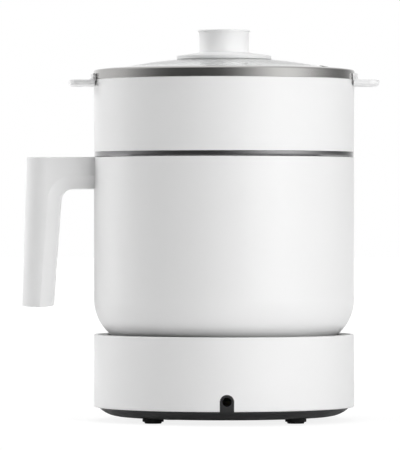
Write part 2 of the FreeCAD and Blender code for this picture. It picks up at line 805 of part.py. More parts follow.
def cup_back(r, corner_r, low, high, hole_r):
    """The same steps the other way, down the inside."""
    lean = corner_r * (1 - math.sqrt(0.5))
    return [(r, high), (r, low + corner_r), ((r - lean, low + lean), (r - corner_r, low)), (hole_r, low)]


def pot_jacket():
    """Outer shell with a large corner radius and a hole in its bottom for the base disc."""
    hole_r = base_disc_r + slip_gap
    outside = cup(pot_r, pot_corner_r, pot_z, pot_top_z, hole_r)
    inside = cup_back(jacket_in_r, pot_corner_r - jacket_wall, pot_z + jacket_wall, pot_top_z, hole_r)
    return lathe(*outside, *inside)


def inner_pot():
    """Coated cooking vessel with a thick rolled rim that sits on the jacket's edge."""
    outside = cup(liner_r, liner_corner_r, liner_z, pot_top_z, 0)
    inside = cup_back(liner_in_r, liner_corner_r - liner_wall, liner_z + liner_wall, rim_top_z, 0)
    body = lathe(*outside, (rim_r, pot_top_z), (rim_r, rim_top_z), *inside)
    return round_circles(body, rim_round, (rim_r, pot_top_z), (rim_r, rim_top_z), (liner_in_r, rim_top_z))


def pot_base_disc():
    """Solid disc that carries heat from the plate through the jacket's hole to the liner."""
    return disc(base_disc_r, pot_z, liner_z)


def pot_gasket():
    """Ring that seals the jacket to the base disc and the liner."""
    low = pot_z + jacket_wall
    return ring(base_disc_r + slip_gap, base_disc_r + slip_gap + gasket_w, low, liner_z)


# ---- handle ----
def shoulder(depth, y, back=0.0):
    """Outline of the handle at this y, with its inner sides moved in by depth."""
    top, low = pot_top_z, pot_top_z - handle_drop
    arm_z = top - handle_arm_h
    lean = (handle_grip_low - handle_grip_top) / (arm_z - low)
    shift = depth * math.sqrt(1 + lean**2)
    inner_low = (-pot_r - handle_grip_low - shift, low - handle_end_bulge)
    corner_z = arm_z + depth
    corner_x = -pot_r - handle_grip_top - shift + lean * depth
    inner_low = (inner_low[0] - lean * handle_end_bulge, inner_low[1])
    r = handle_inner_round + depth
    slope = math.atan(lean)
    reach = r * math.tan((math.pi / 2 - slope) / 2)
    down = (corner_x - reach * math.sin(slope), corner_z - reach * math.cos(slope))
    along = (corner_x + reach, corner_z)
    centre = (along[0], corner_z - r)
    mid_a = (math.pi / 2 + math.pi - slope) / 2
    mid = (centre[0] + r * math.cos(mid_a), centre[1] + r * math.sin(mid_a))
    outer_lean = (handle_reach_low - handle_reach_top) / handle_drop
    outer_low_x = -pot_r - handle_reach_low - outer_lean * handle_end_bulge + back
    root_x = -pot_r + 2 * handle_wall
    return flat(
        (root_x, top - back), (-pot_r - handle_reach_top + back, top - back),
        (outer_low_x, low - handle_end_bulge), inner_low, down, (mid, along), (root_x, corner_z), y=y,
    )


def slab(depth, half_w, back=0.0):
    """Handle outline drawn out to both sides."""
    return Part.Face(shoulder(depth, -half_w, back)).extrude(vec(0, 2 * half_w, 0))


def handle_solid():
    """Whole handle: rounded outer side, inner facets that follow the corner, and a slightly convex end."""
    reach_y = 2 * facet_fall
    flat_half = handle_half_w - facet_fall
    deep = facet_w * reach_y / facet_fall
    near, far = shoulder(0.0, flat_half), shoulder(deep, flat_half + reach_y)
    wedge = Part.makeLoft([near, far], True, True)
    body = fuse([slab(0.0, flat_half), wedge, wedge.mirror(vec(0, 0, 0), FORWARD)])
    lean = (handle_reach_low - handle_reach_top) / handle_drop
    nose_x = -pot_r - handle_reach_top + handle_nose_l
    high = pot_top_z + 1
    ellipse = Part.Ellipse(vec(nose_x, 0, high), handle_nose_l, handle_half_w)
    side = handle_half_w
    plan = Part.Wire([
        Part.ArcOfEllipse(ellipse, math.pi / 2, 3 * math.pi / 2).toShape(),
        Part.LineSegment(vec(nose_x, -side, high), vec(0, -side, high)).toShape(),
        Part.LineSegment(vec(0, -side, high), vec(0, side, high)).toShape(),
        Part.LineSegment(vec(0, side, high), vec(nose_x, side, high)).toShape(),
    ])
    fall = handle_drop + handle_end_bulge + 2
    body = body.common(Part.Face(plan).extrude(vec(-lean * fall, 0, -fall)))
    body = body.cut(handle_end_trim())
    end_z = pot_top_z - handle_drop + handle_edge_round
    finger = [e for e in body.Edges
              if abs(abs(e.CenterOfMass.y) - flat_half) < 1e-3 and e.CenterOfMass.z > end_z]
    body = body.makeFillet(handle_finger_round, finger)
    top = [e for e in body.Edges if e.BoundBox.ZMin > pot_top_z - 1e-3 and e.CenterOfMass.x < -pot_r]
    body = body.makeFillet(handle_edge_round, top)
    end = [e for e in body.Edges if e.BoundBox.ZMax < end_z]
    body = body.makeFillet(handle_edge_round, end)
    return body.cut(disc(pot_r + run_gap, 0, rim_top_z))


def handle_end_trim():
    """What lies below the grip's slightly convex end."""
    low = pot_top_z - handle_drop
    left, right = -pot_r - handle_reach_low, -pot_r - handle_grip_low
    half = (right - left) / 2
    arc_r = (half**2 + handle_end_bulge**2) / (2 * handle_end_bulge)
    mid_x = (left + right) / 2
    bottom = low - handle_end_bulge
    side = 2 * handle_half_w
    below = block(left - 5, right + 5, -side, side, bottom - 5, low + arc_r / 8)
    return below.cut(rod(arc_r, -side, side, mid_x, bottom + arc_r))


def handle_core():
    """Hollow inside the handle, open towards the fingers."""
    inner = slab(-1.0, handle_core_half_w, handle_outer_wall)
    low = pot_top_z - handle_drop + handle_wall
    keep = block(-2 * pot_r, 0, -2 * handle_half_w, 2 * handle_half_w, low, pot_top_z - handle_wall)
    return inner.common(keep)


def handle_cover_space(grow):
    """Room of the cover strip: along the grip, round the corner and along the arm's underside."""
    strip = slab(-1.0, handle_core_half_w + grow).cut(slab(handle_cover_t + grow, handle_core_half_w + 2))
    low = pot_top_z - handle_drop + handle_wall - grow
    return strip.common(block(-2 * pot_r, 0, -2 * handle_half_w, 2 * handle_half_w, low, pot_top_z))


def handle_screw_places():
    return [(-pot_r - handle_screw_first - i * handle_screw_step, 0.0) for i in range(2)]


def bracket_levels():
    """Lower and upper face of the steel tang inside the arm."""
    mid = pot_top_z - handle_arm_h / 2
    return mid - bracket_t / 2, mid + bracket_t / 2


def handle_shell():
    """Moulded handle, hollowed from the finger side, with two bosses under the tang."""
    solid = handle_solid()
    body = solid.cut(handle_core()).cut(handle_cover_space(slip_gap))
    low, _ = bracket_levels()
    arm_z = pot_top_z - handle_arm_h
    posts = [disc(handle_screw_head_r + 1, arm_z + handle_cover_t + slip_gap, low, x, y)
             for x, y in handle_screw_places()]
    body = body.multiFuse([post.common(solid) for post in posts] + [handle_ribs().common(solid)])
    return body.cut(Part.makeCompound([handle_screw_hole(x, y) for x, y in handle_screw_places()]))


def handle_ribs():
    """Two cross ribs that tie the bosses to the handle's sides."""
    low, _ = bracket_levels()
    arm_z = pot_top_z - handle_arm_h
    side = handle_core_half_w + 1
    ribs = [block(x - 1, x + 1, -side, side, arm_z + handle_cover_t + slip_gap, low)
            for x, _y in handle_screw_places()]
    return Part.makeCompound(ribs)


def handle_screw_hole(x, y):
    """Stepped hole for a screw that goes up into the tang."""
    low, high = bracket_levels()
    arm_z = pot_top_z - handle_arm_h
    seat = arm_z + handle_cover_t + handle_screw_head_h + slip_gap
    wide = disc(handle_screw_head_r + slip_gap, arm_z - 1, seat, x, y)
    return wide.fuse(disc(handle_screw_r + run_gap, seat, high + 3, x, y))


def handle_cover():
    """Strip that closes the handle's hollow on the finger side, with the two screw holes."""
    solid = handle_solid()
    strip = handle_cover_space(0.0).common(solid)
    return strip.cut(Part.makeCompound([handle_screw_hole(x, y) for x, y in handle_screw_places()]))


def handle_screws():
    _, high = bracket_levels()
    seat = pot_top_z - handle_arm_h + handle_cover_t + handle_screw_head_h + slip_gap
    return [screw(handle_screw_r, handle_screw_head_r, handle_screw_head_h, seat, high + 2, x, y)
            for x, y in handle_screw_places()]


def handle_bracket():
    """Steel pad welded to the jacket, with a tang that runs out inside the arm."""
    low, high = bracket_levels()
    mid = (low + high) / 2
    half_h = bracket_pad_h / 2
    pad = ring(pot_r, pot_r + bracket_t, mid - half_h, mid + half_h)
    pad = pad.common(block(-2 * pot_r, 0, -bracket_half_w, bracket_half_w, mid - half_h, mid + half_h))
    tang = block(-pot_r - bracket_reach, -pot_r, -bracket_half_w, bracket_half_w, low, high)
    tang = tang.cut(disc(pot_r + bracket_t / 2, low, high))
    holes = [disc(handle_screw_r + run_gap, low, high, x, y) for x, y in handle_screw_places()]
    return fuse([pad, tang]).cut(Part.makeCompound(holes))


# ---- steamer ----
def ear(side):
    """Flat ear with a curved upstand that keeps the lid in place; side is 1 or -1 along X."""
    outer = pot_r + ear_reach
    plate = block(steamer_top_r - steamer_wall / 2, outer + 5, -ear_half_w, ear_half_w, ear_z, steamer_top_z)
    plate = plate.common(disc(outer, ear_z, steamer_top_z))
    corners = [e for e in plate.Edges
               if abs(e.tangentAt(e.FirstParameter).z) > 0.99 and e.CenterOfMass.x > pot_r + ear_reach / 2]
    plate = plate.makeFillet(ear_plan_round, corners)
    low = [e for e in plate.Edges if abs(e.BoundBox.ZMax - ear_z) < 1e-3 and e.CenterOfMass.x > steamer_top_r]
    plate = plate.makeFillet(ear_low_round, low)
    top = [e for e in plate.Edges
           if abs(e.BoundBox.ZMin - steamer_top_z) < 1e-3 and e.CenterOfMass.x > steamer_top_r]
    plate = plate.makeFillet(ear_top_round, top)
    plate = plate.fuse(upstand()).removeSplitter()
    plate = plate.cut(disc(steamer_in_r + steamer_wall / 2, ear_z, steamer_top_z))
    return plate if side > 0 else plate.rotated(vec(0, 0, 0), UP, 180)


def upstand():
    """Curved wall on the ear, just outside the lid band, flared where it meets the ear."""
    low, high, out_r = steamer_top_z, steamer_top_z + upstand_h, upstand_r + upstand_wall
    bend = upstand_flare * (1 - math.sqrt(0.5))
    outline = flat(
        (upstand_r, low - 1), (upstand_r, high), (out_r, high), (out_r, low + upstand_flare),
        ((out_r + bend, low + bend), (out_r + upstand_flare, low)), (out_r + upstand_flare, low - 1),
    )
    sector = Part.Face(outline).revolve(vec(0, 0, 0), UP, 2 * upstand_half_deg)
    return sector.rotated(vec(0, 0, 0), UP, -upstand_half_deg)


def steamer_ring():
    """Tall ring that stands on the pot's rim, centred by a lip, with a ledge for the tray and two ears."""
    body = lathe(
        (steamer_lip_in_r, rim_top_z - steamer_lip_h), (steamer_lip_r, rim_top_z - steamer_lip_h),
        (steamer_lip_r, rim_top_z), (steamer_low_r, rim_top_z), (steamer_top_r, steamer_top_z),
        (steamer_in_r, steamer_top_z), (steamer_in_r, ledge_z), (steamer_lip_in_r, ledge_z),
    )
    return fuse([body, ear(1), ear(-1)])


def steam_tray():
    """Perforated floor of the steamer, in rings of holes round a centre hole."""
    body = disc(tray_r, ledge_z, ledge_z + tray_h)
    places = [(0.0, 0.0)]
    for i in range(1, tray_rings + 1):
        places += around(i * tray_ring_step, i * tray_ring_holes)
    holes = [disc(tray_hole_r, ledge_z, ledge_z + tray_h, x, y) for x, y in places]
    return body.cut(Part.makeCompound(holes))


# ---- lid ----
def glass_level(r, under):
    """Height of the dome at radius r; under is how far below the top face."""
    return glass_apex_z - under - glass_dome_r + math.sqrt(glass_dome_r**2 - r**2)


def glass_edges(under, outward):
    """Dome and flange of one face of the glass, as edges from the axis outwards or back."""
    r1, r2, r3 = glass_dome_edge_r, band_lip_r, glass_r
    z1, z2 = glass_level(r1, under), glass_lip_z - under
    z3 = z2 + glass_edge_slope * (r3 - r2)
    dome_slope = -r1 / math.sqrt(glass_dome_r**2 - r1**2)
    third = (r2 - r1) / 3
    blend = Part.BezierCurve()
    blend.setPoles([vec(r1, 0, z1), vec(r1 + third, 0, z1 + dome_slope * third),
                    vec(r2 - third, 0, z2 - glass_edge_slope * third), vec(r2, 0, z2)])
    half = r1 / 2
    dome = Part.Arc(vec(0, 0, glass_apex_z - under), vec(half, 0, glass_level(half, under)), vec(r1, 0, z1))
    edges = [dome.toShape(), blend.toShape(), Part.LineSegment(vec(r2, 0, z2), vec(r3, 0, z3)).toShape()]
    return edges if outward else edges[::-1]


def glass_blank():
    """Domed disc before it is bored."""
    top, low = glass_edges(0.0, True), glass_edges(glass_t, False)
    end_z = glass_lip_z + glass_edge_slope * (glass_r - band_lip_r)
    rim = Part.LineSegment(vec(glass_r, 0, end_z), vec(glass_r, 0, end_z - glass_t)).toShape()
    axis = Part.LineSegment(vec(0, 0, glass_under_z), vec(0, 0, glass_apex_z)).toShape()
    return Part.Face(Part.Wire(Part.__sortEdges__(top + [rim] + low + [axis]))).revolve(vec(0, 0, 0), UP, 360)


def lean_with_dome(shape):
    """Put a piece that was made on the axis, about Z = 0, onto the dome at the vent, square to the glass."""
    tilt = math.degrees(math.asin(vent_eye_x / glass_dome_r))
    shape.rotate(vec(0, 0, 0), FORWARD, tilt)
    shape.translate(vec(vent_eye_x, 0, glass_level(vent_eye_x, 0.0)))
    return shape


def lid_glass():
    """Tempered glass with a hole for the knob and one for the steam vent."""
    vent = lean_with_dome(disc(vent_hole_r, -2 * glass_t, glass_t))
    return glass_blank().cut(disc(glass_hole_r, glass_under_z - 1, glass_apex_z + 1)).cut(vent)


def vent_eyelet():
    """Rolled eyelet in the vent hole, with a flange on each face of the glass."""
    hug = 2 * slip_gap
    high, low = hug + vent_flange_h, -glass_t - hug - vent_flange_h
    sleeve = ring(vent_eye_bore_r, vent_hole_r - slip_gap, low, high)
    top = ring(vent_eye_bore_r, vent_flange_r, hug, high)
    bottom = ring(vent_eye_bore_r, vent_flange_r, low, -glass_t - hug)
    return lean_with_dome(fuse([sleeve, top, bottom]))


def lid_band():
    """Rolled steel band: outer wall, lip over the glass, ledge on the steamer and a skirt inside it."""
    low = steamer_top_z
    wall_in = band_r - band_t
    bend = band_round * (1 - math.sqrt(0.5))
    in_round = band_round - band_t
    in_bend = in_round * (1 - math.sqrt(0.5))
    corner_x, top = band_r - band_round, band_top_z
    skirt_in = band_skirt_r - band_t
    glass_low = glass_lip_z - glass_t + glass_edge_slope * (glass_r - band_lip_r)
    return lathe(
        (band_r, low), (band_r, top - band_round),
        ((band_r - bend, top - bend), (corner_x, top)), (band_lip_r, band_lip_z),
        (band_lip_r, band_lip_z - band_t), (corner_x, top - band_t),
        ((wall_in - in_bend, top - band_t - in_bend), (wall_in, top - band_round)),
        (wall_in, low + band_t), (band_skirt_r, low + band_t), (band_skirt_r, glass_low - slip_gap),
        (skirt_in, glass_low - slip_gap), (skirt_in, low - band_skirt_h),
        (band_skirt_r, low - band_skirt_h), (band_skirt_r, low),
    )


def lid_seal():
    """Ring of sealant in the band, under the edge of the glass."""
    low = steamer_top_z + band_t
    high = glass_lip_z - glass_t + glass_edge_slope * (glass_r - band_lip_r)
    body = ring(band_skirt_r + slip_gap, band_r - band_t - slip_gap, low, high + 1)
    return body.cut(glass_blank())


# ---- knob ----
def upper_washer():
    """Soft washer between the glass and the knob's skirt."""
    ring_ = ring(seat_spigot_r(), washer_r, glass_apex_z - 1, skirt_z)
    return ring_.cut(glass_blank())


def lower_washer():
    """Soft washer between the glass and the seat under it."""
    return ring(seat_spigot_r() + slip_gap, washer_r, seat_top_z, glass_under_z + 1).cut(glass_blank())


def seat_spigot_r():
    return glass_hole_r - seat_spigot_gap


def knob_skirt():
    """Wide disc over the glass that keeps steam off the fingers."""
    hole_r = knob_screw_r + 2 * slip_gap
    seat_edge_r = washer_r + slip_gap
    body = lathe(
        (hole_r, skirt_z), (seat_edge_r, skirt_z), (seat_edge_r, glass_level(seat_edge_r, -skirt_edge_gap)),
        (skirt_r, glass_level(skirt_r, -skirt_edge_gap)),
        (skirt_r, skirt_edge_z), (knob_low_r, knob_z), (hole_r, knob_z),
    )
    return round_circles(body, skirt_round, (skirt_r, skirt_edge_z))


def knob_grip():
    """Slightly flared cylinder, hollow, with a boss round the brass insert."""
    wall_low, wall_top = knob_low_r - knob_wall, knob_top_r - knob_wall
    cup_ = lathe(
        (0, knob_z), (knob_low_r, knob_z), (knob_top_r, knob_top_z), (wall_top, knob_top_z),
        (wall_low, knob_z + knob_floor), (0, knob_z + knob_floor),
    )
    boss = disc(insert_r + insert_boss_wall, knob_z, insert_z + insert_h)
    bore = disc(insert_r, knob_z, insert_z + insert_h)
    return fuse([cup_, boss]).cut(bore)


def knob_cap():
    """Lid of the knob: a lip beyond the cylinder, and a ring that plugs into it."""
    edge = knob_top_z + knob_cap_h
    high = edge + knob_cap_dome
    mid_r = knob_cap_r / 2
    dome_r = (knob_cap_r**2 + knob_cap_dome**2) / (2 * knob_cap_dome)
    mid_z = high - dome_r + math.sqrt(dome_r**2 - mid_r**2)
    plug_r = knob_top_r - knob_wall - loose_gap
    plug_in_r, plug_z = plug_r - knob_plug_wall, knob_top_z - knob_plug_h
    body = lathe(
        (0, knob_top_z), (plug_in_r, knob_top_z), (plug_in_r, plug_z),
        (plug_r, plug_z), (plug_r, knob_top_z), (knob_cap_r, knob_top_z),
        (knob_cap_r, edge), ((mid_r, mid_z), (0, high)),
    )
    return round_circles(body, knob_cap_round, (knob_cap_r, edge), (knob_cap_r, knob_top_z))


def knob_seat():
    """Boss under the glass with a spigot that centres the knob in the glass's hole."""
    body = fuse([disc(seat_r, seat_z, seat_top_z), disc(seat_spigot_r(), seat_top_z - 1, skirt_z)])
    body = round_circles(body, skirt_round, (seat_r, seat_z))
    return body.cut(disc(knob_screw_r + 2 * slip_gap, seat_z, skirt_z)).cut(
        disc(knob_screw_head_r + slip_gap, seat_z, knob_head_z))


def knob_insert():
    """Brass threaded insert in the grip's boss."""
    return ring(knob_screw_r + run_gap, insert_r, insert_z, insert_z + insert_h)


def knob_screw():
    tip = insert_z + insert_h - 1
    return screw(knob_screw_r, knob_screw_head_r, knob_screw_head_h, knob_head_z, tip, 0, 0)


def main():
    os.makedirs("parts", exist_ok=True)
    save("base_shell", base_shell())
    save("recess_dish", recess_dish())
    save("bottom_cover", bottom_cover())
    save("rubber_feet", *[rubber_foot(x, y) for x, y in foot_places])
    save("cover_screws", *cover_screws())
    save("inlet_bushing", inlet_bushing())
    save("heating_plate", heating_plate())
    save("heating_tube", heating_tube())
    save("support_pan", support_pan())
    save("plate_standoffs", *plate_standoffs())
    save("plate_screws", *plate_screws())
    save("pan_screws", *pan_screws())
    save("sensor_cap", sensor_cap())
    save("sensor_spring", sensor_spring())
    save("sensor_guide", sensor_guide())
    save("thermostat", thermostat())
    save("thermal_fuse", thermal_fuse())
    save("terminal_block", terminal_block())
    save("internal_leads", *internal_leads())
    save("control_board", control_board())
    save("rotary_switch", rotary_switch())
    save("dial_seat", dial_seat())
    save("dial", dial())
    save("dial_pointer", dial_pointer())
    save("dial_shaft", dial_shaft())
    save("lamp_lens", lamp_lens())
    save("pot_jacket", pot_jacket())
    save("inner_pot", inner_pot())
    save("pot_base_disc", pot_base_disc())
    save("pot_gasket", pot_gasket())
    save("handle_shell", handle_shell())
    save("handle_cover", handle_cover())
    save("handle_bracket", handle_bracket())
    save("handle_screws", *handle_screws())
    save("steamer_ring", steamer_ring())
    save("steam_tray", steam_tray())
    save("lid_glass", lid_glass())
    save("lid_band", lid_band())
    save("lid_seal", lid_seal())
    save("vent_eyelet", vent_eyelet())
    save("knob_skirt", knob_skirt())
    save("knob_grip", knob_grip())
    save("knob_cap", knob_cap())
    save("knob_seat", knob_seat())
    save("upper_washer", upper_washer())
    save("lower_washer", lower_washer())
    save("knob_insert", knob_insert())
    save("knob_screw", knob_screw())


main()
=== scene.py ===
# %% [markdown]
# # An electric hot pot, dressed piece by piece
# The object is a mains base with a hot plate, a lift-off pot with a side handle, a steamer ring with
# two ears and a glass lid with a knob. Its solids arrive as a fixed frame in which every piece already
# has its place. This lesson turns the round pieces again with soft edges, repeats screws, feet and
# holes by rule, and gives each finish a material of its own.

# %% Load the frame
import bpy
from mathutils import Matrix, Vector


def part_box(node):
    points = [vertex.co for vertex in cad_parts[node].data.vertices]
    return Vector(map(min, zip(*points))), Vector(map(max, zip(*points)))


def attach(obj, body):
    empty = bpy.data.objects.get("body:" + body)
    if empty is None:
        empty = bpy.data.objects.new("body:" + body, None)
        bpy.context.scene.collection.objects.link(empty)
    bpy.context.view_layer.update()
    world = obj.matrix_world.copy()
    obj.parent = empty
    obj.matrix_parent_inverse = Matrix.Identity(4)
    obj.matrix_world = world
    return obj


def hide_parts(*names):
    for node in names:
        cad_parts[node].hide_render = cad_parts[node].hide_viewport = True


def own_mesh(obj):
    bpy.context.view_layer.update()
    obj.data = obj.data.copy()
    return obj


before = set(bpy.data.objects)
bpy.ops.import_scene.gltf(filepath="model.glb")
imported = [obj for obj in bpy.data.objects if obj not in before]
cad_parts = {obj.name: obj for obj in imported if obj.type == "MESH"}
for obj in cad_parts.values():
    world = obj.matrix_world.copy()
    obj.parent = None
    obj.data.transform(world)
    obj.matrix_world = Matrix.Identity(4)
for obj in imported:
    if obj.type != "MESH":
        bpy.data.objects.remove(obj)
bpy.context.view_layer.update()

# %% [markdown]
# ## Units, colours and nodes
# Everything is in metres, but a maker thinks in millimetres, so sizes are written in millimetres and
# multiplied by mm. Colours are written as the hex codes of a colour fan, and one function turns them to
# the linear values that light is computed with. One more function adds a node to any tree, with its
# settings and its links.

# %% Units, colours and one way to add a node
import math
import bpy
from mathutils import Matrix, Vector

mm = 0.001


def linear(code):
    """Linear RGBA of an sRGB hex colour."""
    parts = [int(code[i:i + 2], 16) / 255 for i in (1, 3, 5)]
    return (*[c / 12.92 if c <= 0.04045 else ((c + 0.055) / 1.055) ** 2.4 for c in parts], 1.0)


def fill(tree, node, links):
    """Fill a node's inputs, by name or number. A node among the values stands for its first output."""
    for key, value in links.items():
        if isinstance(value, bpy.types.Node):
            value = value.outputs[0]
        if isinstance(value, bpy.types.NodeSocket):
            tree.links.new(value, node.inputs[key])
        else:
            node.inputs[key].default_value = value


def add(tree, kind, links=None, **settings):
    """Add a node. Settings are its properties; links fill its inputs."""
    node = tree.nodes.new(kind)
    for name, value in settings.items():
        setattr(node, name, value)
    fill(tree, node, links or {})
    return node


def finish(name, colour, roughness, **values):
    """Start a material. Values that are the same all over sit on the shader's own inputs."""
    material = bpy.data.materials.new(name)
    material.use_nodes = True
    tree = material.node_tree
    shader = tree.nodes["Principled BSDF"]
    others = {key.replace("_", " "): value for key, value in values.items()}
    fill(tree, shader, {"Base Color": linear(colour), "Roughness": roughness, **others})
    return material, tree, shader


print("the white #F0F0F0 in linear light:", round(linear("#F0F0F0")[0], 3))


# %% [markdown]
# ## Patterns that several finishes share
# A moulded or cast surface is never quite smooth. Its grain is a height pattern whose scale comes from
# a real size in millimetres: a noise texture on Object coordinates has about one bump per 1 / scale
# metres, so the scale is 1000 / size. The bump node gets its height in real metres too.

# %% Grain, marbling and turned streaks
def place(tree, stretch=(1.0, 1.0, 1.0)):
    """Object coordinates, squeezed or stretched along the axes."""
    here = add(tree, "ShaderNodeTexCoord").outputs["Object"]
    return add(tree, "ShaderNodeMapping", {"Vector": here, "Scale": stretch})


def patches(tree, size_mm, detail=2.0, stretch=(1.0, 1.0, 1.0)):
    """Uneven pattern whose patches are about this wide."""
    links = {"Vector": place(tree, stretch), "Scale": 1000.0 / size_mm, "Detail": detail}
    return add(tree, "ShaderNodeTexNoise", links)


def radius(tree):
    """Distance from the pot's axis, in metres."""
    here = add(tree, "ShaderNodeTexCoord").outputs["Object"]
    flat_here = add(tree, "ShaderNodeVectorMath", {0: here, 1: (1.0, 1.0, 0.0)}, operation="MULTIPLY")
    return add(tree, "ShaderNodeVectorMath", {0: flat_here}, operation="LENGTH").outputs["Value"]


def turned_streaks(tree, pitch_mm):
    """Fine rings round the pot's axis, as a lathe or a rolling mill leaves them."""
    here = add(tree, "ShaderNodeTexCoord").outputs["Object"]
    height = add(tree, "ShaderNodeSeparateXYZ", {0: here}).outputs["Z"]
    spot = add(tree, "ShaderNodeCombineXYZ", {"X": radius(tree), "Y": height})
    return add(tree, "ShaderNodeTexNoise", {"Vector": spot, "Scale": 1000.0 / pitch_mm, "Detail": 2.0})


def mottled(started, grain=None, dulled=None, tinted=None, target="Normal"):
    """Lay patterns over a finish that was started, and hand out its material.

    The grain raises bumps of a depth in mm, the next one spreads the roughness between two values, and
    the last one blends two tones. Each names its pattern first, or the width in mm of uneven patches.
    """
    material, tree, shader = started

    def pattern(first, *settings):
        return patches(tree, first, *settings) if isinstance(first, float) else first

    if grain:
        first, depth_mm, *settings = grain
        height = {"Height": pattern(first, *settings), "Strength": 1.0, "Distance": depth_mm * mm}
        fill(tree, shader, {target: add(tree, "ShaderNodeBump", height)})
    if dulled:
        first, low, high = dulled
        span = {"Value": pattern(first), "From Min": 0.3, "From Max": 0.7, "To Min": low, "To Max": high}
        fill(tree, shader, {"Roughness": add(tree, "ShaderNodeMapRange", span)})
    if tinted:
        first, darker, paler, *settings = tinted
        tones = {0: pattern(first, *settings), 6: linear(darker), 7: linear(paler)}
        fill(tree, shader, {"Base Color": add(tree, "ShaderNodeMix", tones, data_type="RGBA").outputs[2]})
    return material


# %% [markdown]
# ## White plastics and the white lacquer
# Base, dial and handle are injection-moulded ABS. The mould was spark eroded, so the skin has an even
# matt grain that spreads the light. The steamer and the knob are polypropylene, which is smoother, a
# little waxy, and lets some light in under the surface. The pot's jacket is drawn aluminium with a
# baked gloss lacquer: a clear mirror-like layer with a faint orange peel over a white that hides the
# metal.

# %% ABS with spark texture
# The real grain is about 0.1 mm wide, which is too fine to show, so it is drawn eight times as coarse.
def moulded_abs(name, colour, darker, paler):
    """ABS from a spark-eroded mould; its tone drifts a little from place to place."""
    started = finish(name, colour, 0.42, Specular_IOR_Level=0.45)
    return mottled(started, grain=(0.8, 0.012, 3.0), dulled=(18.0, 0.38, 0.47), tinted=(45.0, darker, paler))


# The handle's white is drawn brighter than the base's, as painted light that lifts the shade the pot's body
# casts on the handle. The deck round the hot plate is drawn grey.
abs_white = moulded_abs("abs_white_spark_texture", "#F0F0F0", "#EFEFEF", "#F1F1F1")
abs_white_brightened_for_shade = moulded_abs("abs_bright_white_spark_texture", "#F9F9F9", "#F8F8F8", "#FAFAFA")
# The grey darkens the deck round the hot plate and its reflection in the jacket's foot.
abs_grey = moulded_abs("abs_grey_spark_texture", "#9C9C9C", "#9A9A9A", "#9E9E9E")
print("abs:", abs_white.name, abs_white_brightened_for_shade.name, abs_grey.name)


# %% Satin polypropylene
# Flow from the gate leaves long, very shallow waves in the skin.
def moulded_pp(name, colour, darker, paler, wave_mm):
    """Polypropylene, which lets some light in under its skin."""
    started = finish(name, colour, 0.34, IOR=1.49, Subsurface_Weight=0.06, Subsurface_Scale=1.0,
                     Subsurface_Radius=(0.004, 0.004, 0.004))
    return mottled(started, grain=(wave_mm, 0.02, 2.0, (1.0, 1.0, 0.35)), dulled=(9.0, 0.30, 0.40),
                   tinted=(30.0, darker, paler))


# The knob's white is drawn brighter than the steamer's, as painted light that lifts the shade on the knob
# and on its seat under the glass.
pp_white = moulded_pp("polypropylene_white_satin", "#F0F0F0", "#EFEFEF", "#F1F1F1", 16.0)
pp_white_brightened_for_shade = moulded_pp("polypropylene_bright_white", "#FAFAFA", "#F9F9F9", "#FBFBFB", 12.0)
print("polypropylene:", pp_white.name, pp_white_brightened_for_shade.name)

# %% Baked gloss lacquer on aluminium
# Orange peel is about 2 mm from crest to crest and a few micrometres deep; it only bends the
# reflections.
lacquer = mottled(finish("lacquer_white_gloss", "#F0F0F0", 0.40, Coat_Weight=0.35, Coat_Roughness=0.22),
                  grain=(2.4, 0.0015, 1.0), target="Coat Normal", dulled=(25.0, 0.37, 0.43),
                  tinted=(60.0, "#EFEFEF", "#F1F1F1"))
print("lacquer:", lacquer.name)

# %% [markdown]
# ## Dark plastics, rubber and silicone
# The bottom cover is charcoal ABS with fine rings from the turned mould. The feet are black rubber,
# dull and slightly blotched. The switch and the thermostat are phenolic resin with a faint marbling of
# its filler. Washers and seals are milky silicone.

# %% Charcoal ABS, rubber, phenolic and silicone
started = finish("abs_charcoal_turned_mould", "#242425", 0.42)
abs_charcoal = mottled(started, grain=(turned_streaks(started[1], 1.1), 0.02),
                       dulled=(12.0, 0.36, 0.50), tinted=(20.0, "#222223", "#282829"))
rubber = mottled(finish("rubber_black_moulded", "#1B1B1B", 0.75, Specular_IOR_Level=0.35),
                 grain=(0.9, 0.03, 4.0), dulled=(5.0, 0.66, 0.84), tinted=(6.0, "#171717", "#212121"))
phenolic = mottled(finish("phenolic_dark_marbled", "#261E1A", 0.38), grain=(1.5, 0.01),
                   dulled=(4.0, 0.32, 0.46), tinted=(3.0, "#1E1815", "#33281F", 5.0))
silicone = mottled(finish("silicone_milky", "#D5D8D9", 0.48, IOR=1.41, Subsurface_Weight=0.15,
                          Subsurface_Radius=(0.003, 0.003, 0.003), Subsurface_Scale=1.0),
                   grain=(1.2, 0.01), dulled=(3.0, 0.42, 0.55))
print("darks:", abs_charcoal.name, rubber.name, phenolic.name, silicone.name)

# %% [markdown]
# ## The pot's dark coat
# The pot is hard anodised, then sprayed with a dark non-stick coat that holds fine metal flakes. It
# shines like a dark metal, and its skin is finely grained, like sandpaper that has been lacquered. A
# fine noise raises the grain, and a second one scatters paler flakes.

